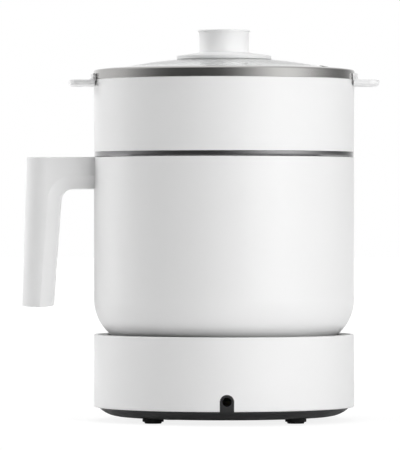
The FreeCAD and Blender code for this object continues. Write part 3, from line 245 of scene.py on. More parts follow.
# %% Dark coat with metal flakes
# The real grain is about 0.3 mm, so it is drawn at 0.8 mm to show. The edge of the rolled rim is bare
# hard-anodised metal, smoother and a little paler.
coat_end_r = 91.8
started = finish("nonstick_dark_metal_flake", "#9A9A9B", 0.20, Metallic=0.9)
stone = mottled(started, grain=(0.8, 0.012, 3.0))
tree, shader = started[1:]
flake = add(tree, "ShaderNodeMapRange", {
    "Value": patches(tree, 1.1, 4.0), "From Min": 0.40, "From Max": 0.66})
on_rim = add(tree, "ShaderNodeMapRange", {
    "Value": radius(tree), "From Min": coat_end_r * mm, "From Max": (coat_end_r + 0.2) * mm})
coat = add(tree, "ShaderNodeMix", {0: flake, 6: linear("#868687"), 7: linear("#AEAEAE")}, data_type="RGBA")
tone = add(tree, "ShaderNodeMix", {0: on_rim, 6: coat.outputs[2], 7: linear("#A5A5A6")}, data_type="RGBA")
dulled = add(tree, "ShaderNodeMapRange", {
    "Value": patches(tree, 7.0), "From Min": 0.3, "From Max": 0.7, "To Min": 0.17, "To Max": 0.25})
fill(tree, shader, {
    "Base Color": tone.outputs[2], "Metallic": add(tree, "ShaderNodeMix", {0: on_rim, 2: 0.9, 3: 1.0}),
    "Roughness": add(tree, "ShaderNodeMix", {0: on_rim, 2: dulled, 3: 0.12})})
print("coat:", stone.name)

# %% [markdown]
# ## Metals
# A metal's colour is its reflection, so its base colour is pale and its roughness and the marks of its
# making do the rest: rolling and turning leave fine rings round the axis, zinc plating a soft bluish
# cloud, heat a brown tint.


# %% Rolled, cast, plated and drawn metals
def metal(name, colour, second, roughness, streak_mm, depth_mm, cloud_mm):
    """Metal with rings from a lathe or a mill, and a cloudy second tint."""
    started = finish(name, colour, roughness, Metallic=1.0)
    rings = turned_streaks(started[1], streak_mm)
    return mottled(started, grain=(rings, depth_mm), dulled=(rings, roughness * 0.85, roughness * 1.15),
                   tinted=(cloud_mm, colour, second, 3.0))


# Rolling lines are a few hundredths of a millimetre apart; all of these are drawn coarser so that they
# show.
stainless = metal("stainless_rolled_polished", "#C9C8C6", "#CFCECC", 0.15, 0.6, 0.0015, 30.0)
cast_aluminium = metal("aluminium_cast_turned_face", "#B4B5B7", "#C4C5C6", 0.38, 1.0, 0.02, 15.0)
sheath = metal("sheath_steel_heat_tinted", "#6B5F57", "#8A7B6E", 0.42, 2.0, 0.01, 12.0)
zinc = metal("zinc_plated_sheet", "#B4B8BC", "#C7C6C0", 0.32, 3.0, 0.004, 10.0)
nickel = metal("nickel_plated_screw", "#C6C4BF", "#D3D1CC", 0.25, 0.7, 0.004, 4.0)
drawn = metal("drawn_spring_wire", "#9B9DA0", "#B2B3B5", 0.28, 0.5, 0.003, 5.0)
brass = metal("brass_turned", "#C9A65C", "#D6B66F", 0.27, 0.6, 0.006, 4.0)
print("metals:", ", ".join(m.name for m in (stainless, cast_aluminium, sheath, zinc, nickel, drawn, brass)))

# %% [markdown]
# ## Glass and the small electrical finishes
# The lid is clear tempered glass. It refracts what is behind it, and lamps shine through it: rays that
# only ask whether a lamp is hidden are let through, because they would otherwise stop at the first
# surface and leave a black shadow inside the pot. The faint green of its iron oxide only shows where
# the light crosses much of it.

# %% Tempered glass
started = finish("glass_tempered_clear", "#FAFCFB", 0.0, IOR=1.52, Transmission_Weight=1.0)
glass = mottled(started, grain=(60.0, 0.002, 0.0), tinted=(80.0, "#F8FBFA", "#FCFDFD"))
tree, shader = started[1:]
clear = add(tree, "ShaderNodeBsdfTransparent", {"Color": linear("#FAFCFB")})
asks = add(tree, "ShaderNodeLightPath").outputs["Is Shadow Ray"]
mixed = add(tree, "ShaderNodeMixShader", {0: asks, 1: shader, 2: clear})
fill(tree, tree.nodes["Material Output"], {"Surface": mixed})
print("glass:", glass.name)

# %% Nylon, lead sleeve, circuit board, lamp lens and printing ink
nylon = mottled(finish("nylon_ivory", "#E2DAC4", 0.40), grain=(1.5, 0.01), dulled=(4.0, 0.35, 0.46))

# The sleeve is braided glass yarn with silicone: two crossing waves, one thread each 0.8 mm.
started = finish("braided_sleeve", "#C9C5BA", 0.6)
tree = started[1]
waves = []
for lean in (1.0, -1.0):
    links = {"Vector": place(tree, (1.0, 1.0, lean)), "Scale": 400.0, "Distortion": 0.0}
    waves.append(add(tree, "ShaderNodeTexWave", links, bands_direction="DIAGONAL").outputs["Fac"])
braid = add(tree, "ShaderNodeMath", {0: waves[0], 1: waves[1]}, operation="MAXIMUM")
sleeve = mottled(started, grain=(braid, 0.1), tinted=(braid, "#B4AF9F", "#DAD6CB"))

# Solder resist over copper: paler, slightly raised runs where a track lies under the green.
started = finish("solder_resist_on_board", "#1E5636", 0.28, Coat_Weight=0.5, Coat_Roughness=0.1)
tree = started[1]
field = add(tree, "ShaderNodeTexVoronoi", {"Vector": place(tree), "Scale": 220.0, "Randomness": 0.2},
            distance="MANHATTAN", feature="F1").outputs["Distance"]
track = add(tree, "ShaderNodeMapRange", {"Value": field, "From Min": 0.42, "From Max": 0.48})
board_green = mottled(started, grain=(track, 0.035), tinted=(track, "#1E5636", "#2F7A4E"))

lens = mottled(finish("lamp_lens_tinted", "#D9602B", 0.18, Transmission_Weight=0.35, IOR=1.49),
               grain=(1.2, 0.02), tinted=(2.0, "#CF5626", "#E27038"))
ink = mottled(finish("printed_grey_ink", "#58595B", 0.55), grain=(0.6, 0.004),
              tinted=(1.0, "#525355", "#606163"))
print("materials so far:", len(bpy.data.materials))

# %% [markdown]
# ## Geometry trees: one way to build and to run them
# A tree gets its sizes as named inputs, so that one tree makes many pieces. To run it, a mesh goes in
# through a modifier, the sizes are set by the identifiers of their sockets, and the result is kept as a
# plain mesh that sits where it was made.


# %% Start a tree and end it
def start_tree(name, **sizes):
    """Empty geometry tree with one named input for each size, and its inputs as outputs of one node."""
    tree = bpy.data.node_groups.new(name, "GeometryNodeTree")
    tree.interface.new_socket("Geometry", in_out="INPUT", socket_type="NodeSocketGeometry")
    tree.interface.new_socket("Geometry", in_out="OUTPUT", socket_type="NodeSocketGeometry")
    for title, kind in sizes.items():
        tree.interface.new_socket(title.replace("_", " "), in_out="INPUT", socket_type="NodeSocket" + kind)
    return tree, add(tree, "NodeGroupInput").outputs


def end_tree(tree, geometry, given):
    """Realize what was repeated, give it its finish and hand it out."""
    real = add(tree, "GeometryNodeRealizeInstances", {"Geometry": geometry})
    done = add(tree, "GeometryNodeSetMaterial", {"Geometry": real, "Material": given["Finish"]})
    add(tree, "NodeGroupOutput", {"Geometry": done})


# %% Run a tree and keep its result
def put(name, data):
    """Set an object out in the scene."""
    piece = bpy.data.objects.new(name, data)
    bpy.context.scene.collection.objects.link(piece)
    return piece


def plain_mesh(piece):
    """Mesh of what a piece's modifiers, or its letters, give."""
    depsgraph = bpy.context.evaluated_depsgraph_get()
    return bpy.data.meshes.new_from_object(piece.evaluated_get(depsgraph), depsgraph=depsgraph)


def keep_result(piece, name):
    """Make what the modifiers give the piece's own mesh, smooth except over sharp edges."""
    mesh = plain_mesh(piece)
    piece.modifiers.clear()
    piece.data = mesh
    mesh.name = name
    mesh.shade_smooth()
    mesh.set_sharp_from_angle(angle=math.radians(38))
    return piece


def run_tree(name, start, tree, **sizes):
    """Put a start mesh through a tree and keep the result as a plain mesh."""
    piece = put(name, start)
    modifier = piece.modifiers.new(tree.name, "NODES")
    modifier.node_group = tree
    for socket in tree.interface.items_tree:
        title = socket.name.replace(" ", "_")
        if socket.in_out == "INPUT" and title in sizes:
            modifier[socket.identifier] = sizes[title]
    return keep_result(piece, name)


# %% [markdown]
# ## The lathe
# Most pieces of a pot are round. A Screw modifier could turn an outline too; a tree is used here
# because it keeps the steps, the closing of the outline and the finish together, and closes the poles.
# It lays a grid with one column for each point of the outline and one row for each step, reads the
# outline's point for each column, and turns it by the row's share of the circle. Points that meet are
# merged.

# %% A tree that turns an outline
turned, given = start_tree("turned", Steps="Int", Closed="Int", Finish="Material")
size = add(turned, "GeometryNodeAttributeDomainSize", {"Geometry": given["Geometry"]}, component="MESH")
corners = size.outputs["Point Count"]
rows = add(turned, "FunctionNodeIntegerMath", {0: given["Steps"], 1: 1}, operation="ADD")
columns = add(turned, "FunctionNodeIntegerMath", {0: corners, 1: given["Closed"]}, operation="ADD")
grid = add(turned, "GeometryNodeMeshGrid", {
    "Size X": 1.0, "Size Y": 1.0, "Vertices X": columns, "Vertices Y": rows})
index = add(turned, "GeometryNodeInputIndex")
column = add(turned, "FunctionNodeIntegerMath", {0: index, 1: rows}, operation="DIVIDE_FLOOR")
corner = add(turned, "FunctionNodeIntegerMath", {0: column, 1: corners}, operation="MODULO")
row = add(turned, "FunctionNodeIntegerMath", {0: index, 1: rows}, operation="MODULO")
read = add(turned, "GeometryNodeSampleIndex", data_type="FLOAT_VECTOR", domain="POINT")
fill(turned, read, {
    "Geometry": given["Geometry"], "Value": add(turned, "GeometryNodeInputPosition"), "Index": corner})
share = add(turned, "ShaderNodeMath", {0: row, 1: given["Steps"]}, operation="DIVIDE")
angle = add(turned, "ShaderNodeMath", {0: share, 1: 2 * math.pi}, operation="MULTIPLY")
spun = add(turned, "ShaderNodeVectorRotate", {"Vector": read, "Angle": angle}, rotation_type="Z_AXIS")
moved = add(turned, "GeometryNodeSetPosition", {"Geometry": grid, "Position": spun})
merged = add(turned, "GeometryNodeMergeByDistance", {"Geometry": moved, "Distance": 1e-6})
end_tree(turned, merged, given)
print("lathe:", len(turned.nodes), "nodes")


# %% Outlines with rounded corners
def outline(*corners):
    """Points (radius, height) of a section from its corners in mm; a third number rounds a corner."""
    points, count = [], len(corners)
    for i, (r, z, *rest) in enumerate(corners):
        here = Vector((r, z))
        if not rest:
            points.append(here)
            continue
        back = (Vector(corners[i - 1][:2]) - here).normalized()
        ahead = (Vector(corners[(i + 1) % count][:2]) - here).normalized()
        half = back.angle(ahead) / 2
        centre = here + (back + ahead).normalized() * rest[0] / math.sin(half)
        first = here + back * rest[0] / math.tan(half) - centre
        last = here + ahead * rest[0] / math.tan(half) - centre
        sweep = first.angle(last)
        steps = max(2, math.ceil(sweep / math.radians(9)), math.ceil(sweep * rest[0] / 1.4))
        for k in range(steps + 1):
            share = k / steps
            arm = first * math.sin(sweep * (1 - share)) + last * math.sin(sweep * share)
            points.append(centre + arm / math.sin(sweep))
    return points


def steady(points, closed):
    """Add a point near each end of a long straight run, so that a corner's shading stays in the corner."""
    result, count = [], len(points)
    for i, here in enumerate(points):
        result.append(here)
        if i + 1 == count and not closed:
            break
        run = points[(i + 1) % count] - here
        if run.length > 4.0:
            result += [here + run.normalized() * 0.35, here + run - run.normalized() * 0.35]
    return result


# %% Turn a section and measure the piece
def turn(name, corners, material, steps=192):
    """Turn a section into a piece. A section whose ends lie on the axis stays open there."""
    points = outline(*corners)
    closed = not (points[0].x < 1e-6 and points[-1].x < 1e-6)
    area = sum(a.x * b.y - b.x * a.y for a, b in zip(points, points[1:] + points[:1]))
    if area > 0:
        points.reverse()
    points = steady(points, closed)
    start = bpy.data.meshes.new(name)
    start.from_pydata([(p.x * mm, 0.0, p.y * mm) for p in points], [], [])
    return run_tree(name, start, turned, Steps=steps, Closed=int(closed), Finish=material)


def volume(piece):
    """Signed volume in cubic centimetres; it is positive where the faces point outwards."""
    mesh = piece.data
    mesh.calc_loop_triangles()
    total = 0.0
    for triangle in mesh.loop_triangles:
        a, b, c = (mesh.vertices[i].co for i in triangle.vertices)
        total += a.dot(b.cross(c)) / 6
    return total * 1e6


# %% [markdown]
# ## Jacket and inner pot
# The jacket is drawn from sheet with one large corner radius, and its upper edge is cut and rounded.
# The inner pot hangs in it by a thick rolled rim, the dark line under the steamer, over a thin shadow
# gap of a quarter of a millimetre. Both are turned from their own section, so the wall has its real
# thickness inside as well.

# %% Jacket and inner pot
rim_r, rim_low, rim_high = 92.7, 188.1, 191.8
shadow_gap = 0.25

pot_r, jacket_t, jacket_low, jacket_bend = 93.0, 1.2, 53.8, 33.0
disc_hole_r = 56.1  # the pot's base disc shows through it
jacket_in, jacket_high = pot_r - jacket_t, rim_low - shadow_gap
jacket = turn("jacket_turned", [
    (disc_hole_r, jacket_low), (pot_r, jacket_low, jacket_bend), (pot_r, jacket_high, 0.2),
    (jacket_in, jacket_high, 0.2), (jacket_in, jacket_low + jacket_t, jacket_bend - jacket_t),
    (disc_hole_r, jacket_low + jacket_t),
], lacquer, steps=256)

liner_r, liner_t, liner_low, liner_bend = 89.5, 1.5, 58.8, 26.0
liner_in = liner_r - liner_t
vessel = turn("inner_pot_turned", [
    (0.0, liner_low), (liner_r, liner_low, liner_bend), (liner_r, rim_low, 0.4), (rim_r, rim_low, 0.25),
    (rim_r, rim_high, 0.3), (liner_in, rim_high, 0.9),
    (liner_in, liner_low + liner_t, liner_bend - liner_t), (0.0, liner_low + liner_t),
], stone, steps=256)
for piece, node in ((jacket, "pot_jacket"), (vessel, "inner_pot")):
    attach(piece, "pot")
    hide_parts(node)
    print(piece.name, round(volume(piece), 1), "cm3", len(piece.data.polygons), "faces")

# %% [markdown]
# ## Lid band, glass, eyelet and knob
# The band is one strip of stainless steel, rolled over the glass at the top and tucked into the steamer
# below. The glass was sagged into a shallow dome with a flat edge. The knob stands on a wide cone that
# keeps the steam off the fingers. All of it is turned; the eyelet is turned on the axis and then leaned
# with the dome, because it stands square to the glass.

# %% Lid band
# The lip falls outwards with the flat edge of the glass that it holds.
band_r, band_t, band_low = 93.35, 0.6, 243.0
lip_r, lip_high, lip_slope = 86.0, 251.1, 0.1367
tuck_r, tuck_low, tuck_high = 90.0, 238.0, 245.48
band_in, tuck_in = band_r - band_t, tuck_r - band_t


def lip(r, below=0.0):
    """Level of the lip's upper face at this radius, in mm."""
    return lip_high - below - lip_slope * (r - lip_r)


band = turn("lid_band_rolled", [
    (band_r, band_low, 0.25), (band_r, lip(band_r), 1.5), (lip_r, lip_high, 0.28),
    (lip_r, lip(lip_r, band_t), 0.28), (band_in, lip(band_in, band_t), 0.9),
    (band_in, band_low + band_t, 0.2), (tuck_r, band_low + band_t, 0.4), (tuck_r, tuck_high, 0.25),
    (tuck_in, tuck_high, 0.25), (tuck_in, tuck_low, 0.25), (tuck_r, tuck_low, 0.25),
    (tuck_r, band_low, 0.2),
], stainless, steps=256)
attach(band, "lid")
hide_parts("lid_band")
print(band.name, round(volume(band), 2), "cm3")

# %% A tree that cleans a cut
def without_slivers(tree, cut):
    """A cut leaves slivers without area beside it; take them out and merge the edges."""
    small = add(tree, "GeometryNodeTriangulate", {"Mesh": cut})
    area = add(tree, "GeometryNodeInputMeshFaceArea")
    empty = add(tree, "FunctionNodeCompare", {0: area, 1: 1e-14}, data_type="FLOAT", operation="LESS_THAN")
    clean = add(tree, "GeometryNodeDeleteGeometry", {"Geometry": small, "Selection": empty}, domain="FACE")
    return add(tree, "GeometryNodeMergeByDistance", {"Geometry": clean, "Distance": 1e-7})


# %% Lid glass with the knob's hole
apex, dome_r, dome_edge_r = 259.3, 376.05, 71.5
glass_r, glass_t, lip_play = 92.0, 4.0, 0.1
knob_hole_r, vent_hole_r = 5.0, 3.0


def dome(r, above=0.0):
    """Level of the glass's upper face at this radius, in mm."""
    return apex + above - dome_r + math.sqrt(dome_r**2 - r**2)


def glass_face(dome_steps=32, bend_steps=12):
    """Points along the glass's upper face: the dome, a soft bend and the flat edge under the lip."""
    points = []
    for i in range(dome_steps + 1):
        r = knob_hole_r + (dome_edge_r - knob_hole_r) * i / dome_steps
        points.append((r, dome(r)))
    flat_level = lip(lip_r, band_t + lip_play)
    reach = (lip_r - dome_edge_r) / 3
    dome_slope = dome_edge_r / math.sqrt(dome_r**2 - dome_edge_r**2)
    pulls = (Vector((dome_edge_r, dome(dome_edge_r))),
             Vector((dome_edge_r + reach, dome(dome_edge_r) - reach * dome_slope)),
             Vector((lip_r - reach, flat_level + reach * lip_slope)), Vector((lip_r, flat_level)))
    for i in range(1, bend_steps + 1):
        t = i / bend_steps
        weights = ((1 - t)**3, 3 * t * (1 - t)**2, 3 * t * t * (1 - t), t**3)
        bend = sum((pull * weight for pull, weight in zip(pulls, weights)), Vector((0.0, 0.0)))
        points.append((bend.x, bend.y))
    return points + [(glass_r, lip(glass_r, band_t + lip_play))]


face = glass_face()
blank = turn("glass_blank", face + [(r, z - glass_t) for r, z in reversed(face)], glass)
print("glass section:", 2 * len(face), "points")

# %% Vent hole, bored square to the dome
vent, given = start_tree("bored_vent", Bore_Radius="Float", Place="Vector", Lean="Vector", Finish="Material")
drill = add(vent, "GeometryNodeMeshCylinder", {
    "Vertices": 48, "Radius": given["Bore Radius"], "Depth": 0.02})
set_in = add(vent, "GeometryNodeTransform", {
    "Geometry": drill, "Translation": given["Place"], "Rotation": given["Lean"]})
cut = add(vent, "GeometryNodeMeshBoolean", {"Mesh 1": given["Geometry"], "Mesh 2": set_in},
          operation="DIFFERENCE", solver="EXACT")
end_tree(vent, without_slivers(vent, cut), given)

vent_r = 72.0
lean = math.asin(vent_r / dome_r)
sheet = run_tree("lid_glass_domed", blank.data, vent, Bore_Radius=vent_hole_r * mm, Lean=(0.0, lean, 0.0),
                 Place=(vent_r * mm, 0.0, dome(vent_r) * mm), Finish=glass)
bpy.data.objects.remove(blank)
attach(sheet, "lid")
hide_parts("lid_glass")
print(sheet.name, round(volume(sheet), 2), "cm3", len(sheet.data.polygons), "faces")

# %% Knob skirt, grip, cap and seat
screw_path_r = 2.7
seat_r, seat_low, seat_high, spigot_r = 17.2, 249.5, 254.5, 4.7
head_room = 3.2  # for the screw's head, in the seat

hub_r, hub_low = 15.1, 260.1
skirt_r, skirt_gap, skirt_edge = 33.9, 0.2, 2.5
skirt_low = dome(skirt_r, skirt_gap)

grip_low, grip_high, grip_low_r, grip_high_r, grip_t = 262.97, 277.57, 17.6, 17.95, 2.2
grip_floor, insert_r, boss_r, boss_h = 2.5, 4.5, 6.5, 9.1

cap_r, cap_high, cap_t, cap_arch = 18.9, 279.17, 1.3, 0.3
plug_r, plug_t, plug_h = 15.25, 1.6, 4.0

knob_sections = {
    "knob_skirt": [
        (screw_path_r, hub_low), (hub_r, hub_low), (hub_r, dome(hub_r, skirt_gap)),
        (skirt_r, skirt_low, 0.3), (skirt_r, skirt_low + skirt_edge, 0.8), (grip_low_r, grip_low),
        (screw_path_r, grip_low)],
    "knob_grip": [
        (insert_r, grip_low), (grip_low_r, grip_low, 0.15), (grip_high_r, grip_high),
        (grip_high_r - grip_t, grip_high), (grip_low_r - grip_t, grip_low + grip_floor, 1.0),
        (boss_r, grip_low + grip_floor, 0.8), (boss_r, grip_low + boss_h, 0.3),
        (insert_r, grip_low + boss_h)],
    "knob_cap": [
        (0.0, grip_high), (plug_r - plug_t, grip_high), (plug_r - plug_t, grip_high - plug_h, 0.3),
        (plug_r, grip_high - plug_h, 0.3), (plug_r, grip_high), (cap_r, grip_high, 0.45),
        (cap_r, grip_high + cap_t, 0.6), (cap_r / 2, cap_high - cap_arch / 4), (0.0, cap_high)],
    "knob_seat": [
        (spigot_r, seat_low, 0.3), (seat_r, seat_low, 0.8), (seat_r, seat_high, 0.3),
        (spigot_r, seat_high), (spigot_r, hub_low, 0.2), (screw_path_r, hub_low),
        (screw_path_r, seat_low + head_room), (spigot_r, seat_low + head_room)],
}
# The knob's pieces take the brightened white, which is painted light.
for node, corners in knob_sections.items():
    piece = turn(node + "_turned", corners, pp_white_brightened_for_shade, steps=128)
    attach(piece, "lid")
    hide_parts(node)
    print(piece.name, round(volume(piece), 2), "cm3")

# %% Steam vent eyelet
eye_bore_r, eye_neck_r, eye_flange_r, eye_flange_h, eye_play = 2.2, 2.9, 3.9, 0.6, 0.2
eye_high, eye_low = eye_play + eye_flange_h, -glass_t - eye_play - eye_flange_h
eyelet = turn("vent_eyelet_rolled", [
    (eye_bore_r, eye_low, 0.3), (eye_flange_r, eye_low, 0.28), (eye_flange_r, eye_low + eye_flange_h, 0.28),
    (eye_neck_r, eye_low + eye_flange_h), (eye_neck_r, eye_play), (eye_flange_r, eye_play, 0.28),
    (eye_flange_r, eye_high, 0.28), (eye_bore_r, eye_high, 0.3),
], stainless, steps=64)
on_dome = Matrix.Translation((vent_r * mm, 0.0, dome(vent_r) * mm)) @ Matrix.Rotation(lean, 4, "Y")
eyelet.data.transform(on_dome)
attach(eyelet, "lid")
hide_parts("vent_eyelet")
print(eyelet.name, round(volume(eyelet), 3), "cm3")

# %% [markdown]
# ## Feet and screws: one piece, copied round a circle
# Four feet and twelve screws repeat, so one of each kind is made at the origin and a tree sets the copies
# round a circle, each turned to face outwards. The screw is turned with rings for its thread, because
# the rise of so fine a thread can't be seen, and a second tree cuts the cross into its head.

# %% A tree that copies round a circle
copies, given = start_tree("copies_round_a_circle", Count="Int", Circle_Radius="Float", Start_Angle="Float",
                           Step_Angle="Float", Centre="Vector", Finish="Material")
swing = {0: add(copies, "GeometryNodeInputIndex"), 1: given["Step Angle"], 2: given["Start Angle"]}
angle = add(copies, "ShaderNodeMath", swing, operation="MULTIPLY_ADD")
arm = add(copies, "ShaderNodeCombineXYZ", {"X": given["Circle Radius"]})
swung = add(copies, "ShaderNodeVectorRotate", {"Vector": arm, "Angle": angle}, rotation_type="Z_AXIS")
spot = add(copies, "ShaderNodeVectorMath", {0: swung, 1: given["Centre"]}, operation="ADD")
spots = add(copies, "GeometryNodePoints", {"Count": given["Count"], "Position": spot})
facing = add(copies, "FunctionNodeAxisAngleToRotation", {"Axis": (0.0, 0.0, 1.0), "Angle": angle})
placed = add(copies, "GeometryNodeInstanceOnPoints", {
    "Points": spots, "Instance": given["Geometry"], "Rotation": facing})
end_tree(copies, placed, given)
print("copies:", len(copies.nodes), "nodes")

# %% A tree that cuts a cross into a head that faces down
cross, given = start_tree("cross_recess", Width="Float", Length="Float", Depth="Float", Finish="Material")
double = add(cross, "ShaderNodeMath", {0: given["Depth"], 1: 2.0}, operation="MULTIPLY")
cut = add(cross, "GeometryNodeMeshBoolean", {"Mesh 1": given["Geometry"]}, operation="DIFFERENCE",
          solver="EXACT")
for long_way, short_way in (("X", "Y"), ("Y", "X")):
    sides = {long_way: given["Length"], short_way: given["Width"], "Z": double}
    bar = add(cross, "GeometryNodeMeshCube", {"Size": add(cross, "ShaderNodeCombineXYZ", sides)})
    fill(cross, cut, {"Mesh 2": bar})
end_tree(cross, without_slivers(cross, cut), given)
print("cross recess:", len(cross.nodes), "nodes")


# %% One screw, and copies on a body
def screw(name, shank_r, head_r, head_h, length, pitch):
    """Screw with its head's face at height 0, pointing up."""
    tip, root = head_h + length, shank_r - 0.32 * pitch
    corners = [(0.0, 0.0), (head_r, 0.0, head_h * 0.45), (head_r, head_h, 0.2), (shank_r, head_h)]
    level = head_h + 2 * pitch
    while level + pitch < tip - 1.5:
        corners += [(shank_r, level), (root, level + pitch / 2)]
        level += pitch
    corners += [(shank_r, level), (shank_r * 0.35, tip), (0.0, tip)]
    blank = turn(name, corners, nickel, steps=24)
    cut = run_tree(name, blank.data, cross, Width=shank_r * 0.6 * mm, Length=head_r * 1.15 * mm,
                   Depth=head_h * 0.55 * mm, Finish=nickel)
    bpy.data.objects.remove(blank)
    return cut


def spread_round(name, single, count, radius_mm, start_deg, level_mm, material, centre_mm=(0.0, 0.0),
                 node=None, body="base"):
    """Copies of a single piece round a circle, riding on a body in place of a node."""
    piece = run_tree(name, single.data, copies, Count=count, Circle_Radius=radius_mm * mm,
                     Start_Angle=math.radians(start_deg), Step_Angle=2 * math.pi / count, Finish=material,
                     Centre=(centre_mm[0] * mm, centre_mm[1] * mm, level_mm * mm))
    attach(piece, body)
    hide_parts(node)
    bpy.data.objects.remove(single)
    print(piece.name, count, "copies", len(piece.data.polygons), "faces")
    return piece


# %% Feet
tread_r, tread_h, foot_r, foot_h = 6.0, 1.2, 7.5, 3.3
neck_r, neck_high, button_r, button_high = 2.5, 5.4, 3.4, 6.8
dimple_r, dimple_h = 3.2, 0.5
foot = turn("foot", [
    (0.0, dimple_h), (dimple_r, dimple_h, 0.2), (dimple_r + 0.2, 0.0, 0.1), (tread_r, 0.0, 0.45),
    (tread_r, tread_h, 0.25), (foot_r, tread_h, 0.45), (foot_r, foot_h, 0.15), (neck_r, foot_h),
    (neck_r, neck_high), (button_r, neck_high, 0.2), (button_r, button_high, 0.5), (0.0, button_high),
], rubber, steps=40)
spread_round("feet_moulded", foot, 4, 71.0, 45.0, 0.0, rubber, node="rubber_feet")

# %% Screws of cover, pan, plate, handle and knob
screw_sets = {
    # node: (shank and head radius, head height, length, pitch), count, circle, first angle, level,
    #       centre, body; all in mm and degrees
    "cover_screws": ((1.9, 3.6, 2.6, 11.3, 1.1), 3, 72.0, 0.0, 3.4, (0.0, 0.0), "base"),
    "pan_screws": ((1.9, 3.6, 2.2, 9.8, 1.1), 3, 76.0, 30.0, 31.8, (0.0, 0.0), "base"),
    "plate_screws": ((1.9, 3.6, 2.2, 17.8, 1.1), 3, 57.0, 90.0, 31.8, (0.0, 0.0), "base"),
    "handle_screws": ((2.0, 3.6, 2.0, 10.55, 1.0), 2, 6.0, 0.0, 167.1, (-110.0, 0.0), "pot"),
    "knob_screw": ((2.5, 4.6, 2.6, 18.37, 0.9), 1, 0.0, 0.0, 250.1, (0.0, 0.0), "lid"),
}
for node, (sizes, count, circle_r, first_deg, level, centre, body) in screw_sets.items():
    spread_round(node + "_turned", screw("one", *sizes), count, circle_r, first_deg, level, nickel,
                 centre_mm=centre, node=node, body=body)

# %% [markdown]
# ## Steam tray
# The tray is a moulded disc with rings of steam holes, six more in each ring than in the one inside it.
# The rule is the shape, so a tree makes it: a point's number gives its ring and its place in the ring,
# a circle is set on each point, the disc's edge and all the circles are filled as one flat face with
# holes, and that face is drawn up.

# %% A tree that makes a perforated disc
tray_tree, given = start_tree("perforated_disc", Edge_Radius="Float", Hole_Radius="Float",
                              Ring_Step="Float", Rings="Int", Base="Float", Thickness="Float",
                              Finish="Material")
# Ring n ends at point 3 n (n + 1), so a point's ring is the root of that rule, rounded up. Each line
# below is one step of it: what comes out, the operation and what goes in.
rule = {"point": add(tray_tree, "GeometryNodeInputIndex"), "ring_step": given["Ring Step"]}
for title, operation, first, second in (
        ("scaled", "MULTIPLY", "point", 4 / 3),
        ("square", "ADD", "scaled", 1.0),
        ("root", "POWER", "square", 0.5),
        ("shifted", "SUBTRACT", "root", 1.0),
        ("exact", "MULTIPLY", "shifted", 0.4999),
        ("ring", "CEIL", "exact", 0.0),
        ("before", "SUBTRACT", "ring", 1.0),
        ("pairs", "MULTIPLY", "ring", "before"),
        ("inner", "MULTIPLY", "pairs", 3.0),
        ("past", "SUBTRACT", "point", "inner"),
        ("in_ring", "SUBTRACT", "past", 1.0),
        ("per_ring", "MULTIPLY", "ring", 6.0),
        ("share", "DIVIDE", "in_ring", "per_ring"),
        ("angle", "MULTIPLY", "share", 2 * math.pi),
        ("reach", "MULTIPLY", "ring", "ring_step")):
    values = {0: rule.get(first), 1: rule.get(second, second)}
    rule[title] = add(tray_tree, "ShaderNodeMath", values, operation=operation)
arm = add(tray_tree, "ShaderNodeCombineXYZ", {"X": rule["reach"]})
spot = add(tray_tree, "ShaderNodeVectorRotate", {"Vector": arm, "Angle": rule["angle"]},
           rotation_type="Z_AXIS")
rings = given["Rings"]
pairs = add(tray_tree, "FunctionNodeIntegerMath", {0: rings, 1: rings, 2: rings}, operation="MULTIPLY_ADD")
count = add(tray_tree, "FunctionNodeIntegerMath", {0: pairs, 1: 3, 2: 1}, operation="MULTIPLY_ADD")
spots = add(tray_tree, "GeometryNodePoints", {"Count": count, "Position": spot})

# The edge and the holes are circles, filled as one face.
hole = add(tray_tree, "GeometryNodeCurvePrimitiveCircle", {
    "Resolution": 20, "Radius": given["Hole Radius"]})
holes = add(tray_tree, "GeometryNodeInstanceOnPoints", {"Points": spots, "Instance": hole})
edge = add(tray_tree, "GeometryNodeCurvePrimitiveCircle", {
    "Resolution": 192, "Radius": given["Edge Radius"]})
lines = add(tray_tree, "GeometryNodeJoinGeometry")
for part in (edge, add(tray_tree, "GeometryNodeRealizeInstances", {"Geometry": holes})):
    fill(tray_tree, lines, {0: part})
face = add(tray_tree, "GeometryNodeFillCurve", {"Curve": lines})
drawn_up = add(tray_tree, "GeometryNodeExtrudeMesh", {
    "Mesh": face, "Offset": (0.0, 0.0, 1.0), "Offset Scale": given["Thickness"], "Individual": False})
under = add(tray_tree, "GeometryNodeFlipFaces", {"Mesh": face})
shell = add(tray_tree, "GeometryNodeJoinGeometry")
for part in (drawn_up, under):
    fill(tray_tree, shell, {0: part})
closed = add(tray_tree, "GeometryNodeMergeByDistance", {"Geometry": shell, "Distance": 1e-6})
lift = add(tray_tree, "ShaderNodeCombineXYZ", {"Z": given["Base"]})
raised = add(tray_tree, "GeometryNodeTransform", {"Geometry": closed, "Translation": lift})
end_tree(tray_tree, raised, given)
print("perforated disc:", len(tray_tree.nodes), "nodes")

# %% Steam tray
tray_r, tray_low, tray_t, steam_hole_r, ring_step = 90.4, 194.5, 2.2, 2.6, 12.0
tray = run_tree("steam_tray_perforated", bpy.data.meshes.new("tray"), tray_tree, Rings=6,
                Edge_Radius=tray_r * mm, Hole_Radius=steam_hole_r * mm, Ring_Step=ring_step * mm,
                Base=tray_low * mm, Thickness=tray_t * mm, Finish=pp_white)
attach(tray, "steamer")
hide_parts("steam_tray")
print(tray.name, round(volume(tray), 1), "cm3", len(tray.data.polygons), "faces")

# %% [markdown]
# ## Sensor spring
# The cap in the middle of the hot plate is pushed up by a coil of wire. A spiral curve with a small
# round section is that coil, with as many faces as it needs and no more.

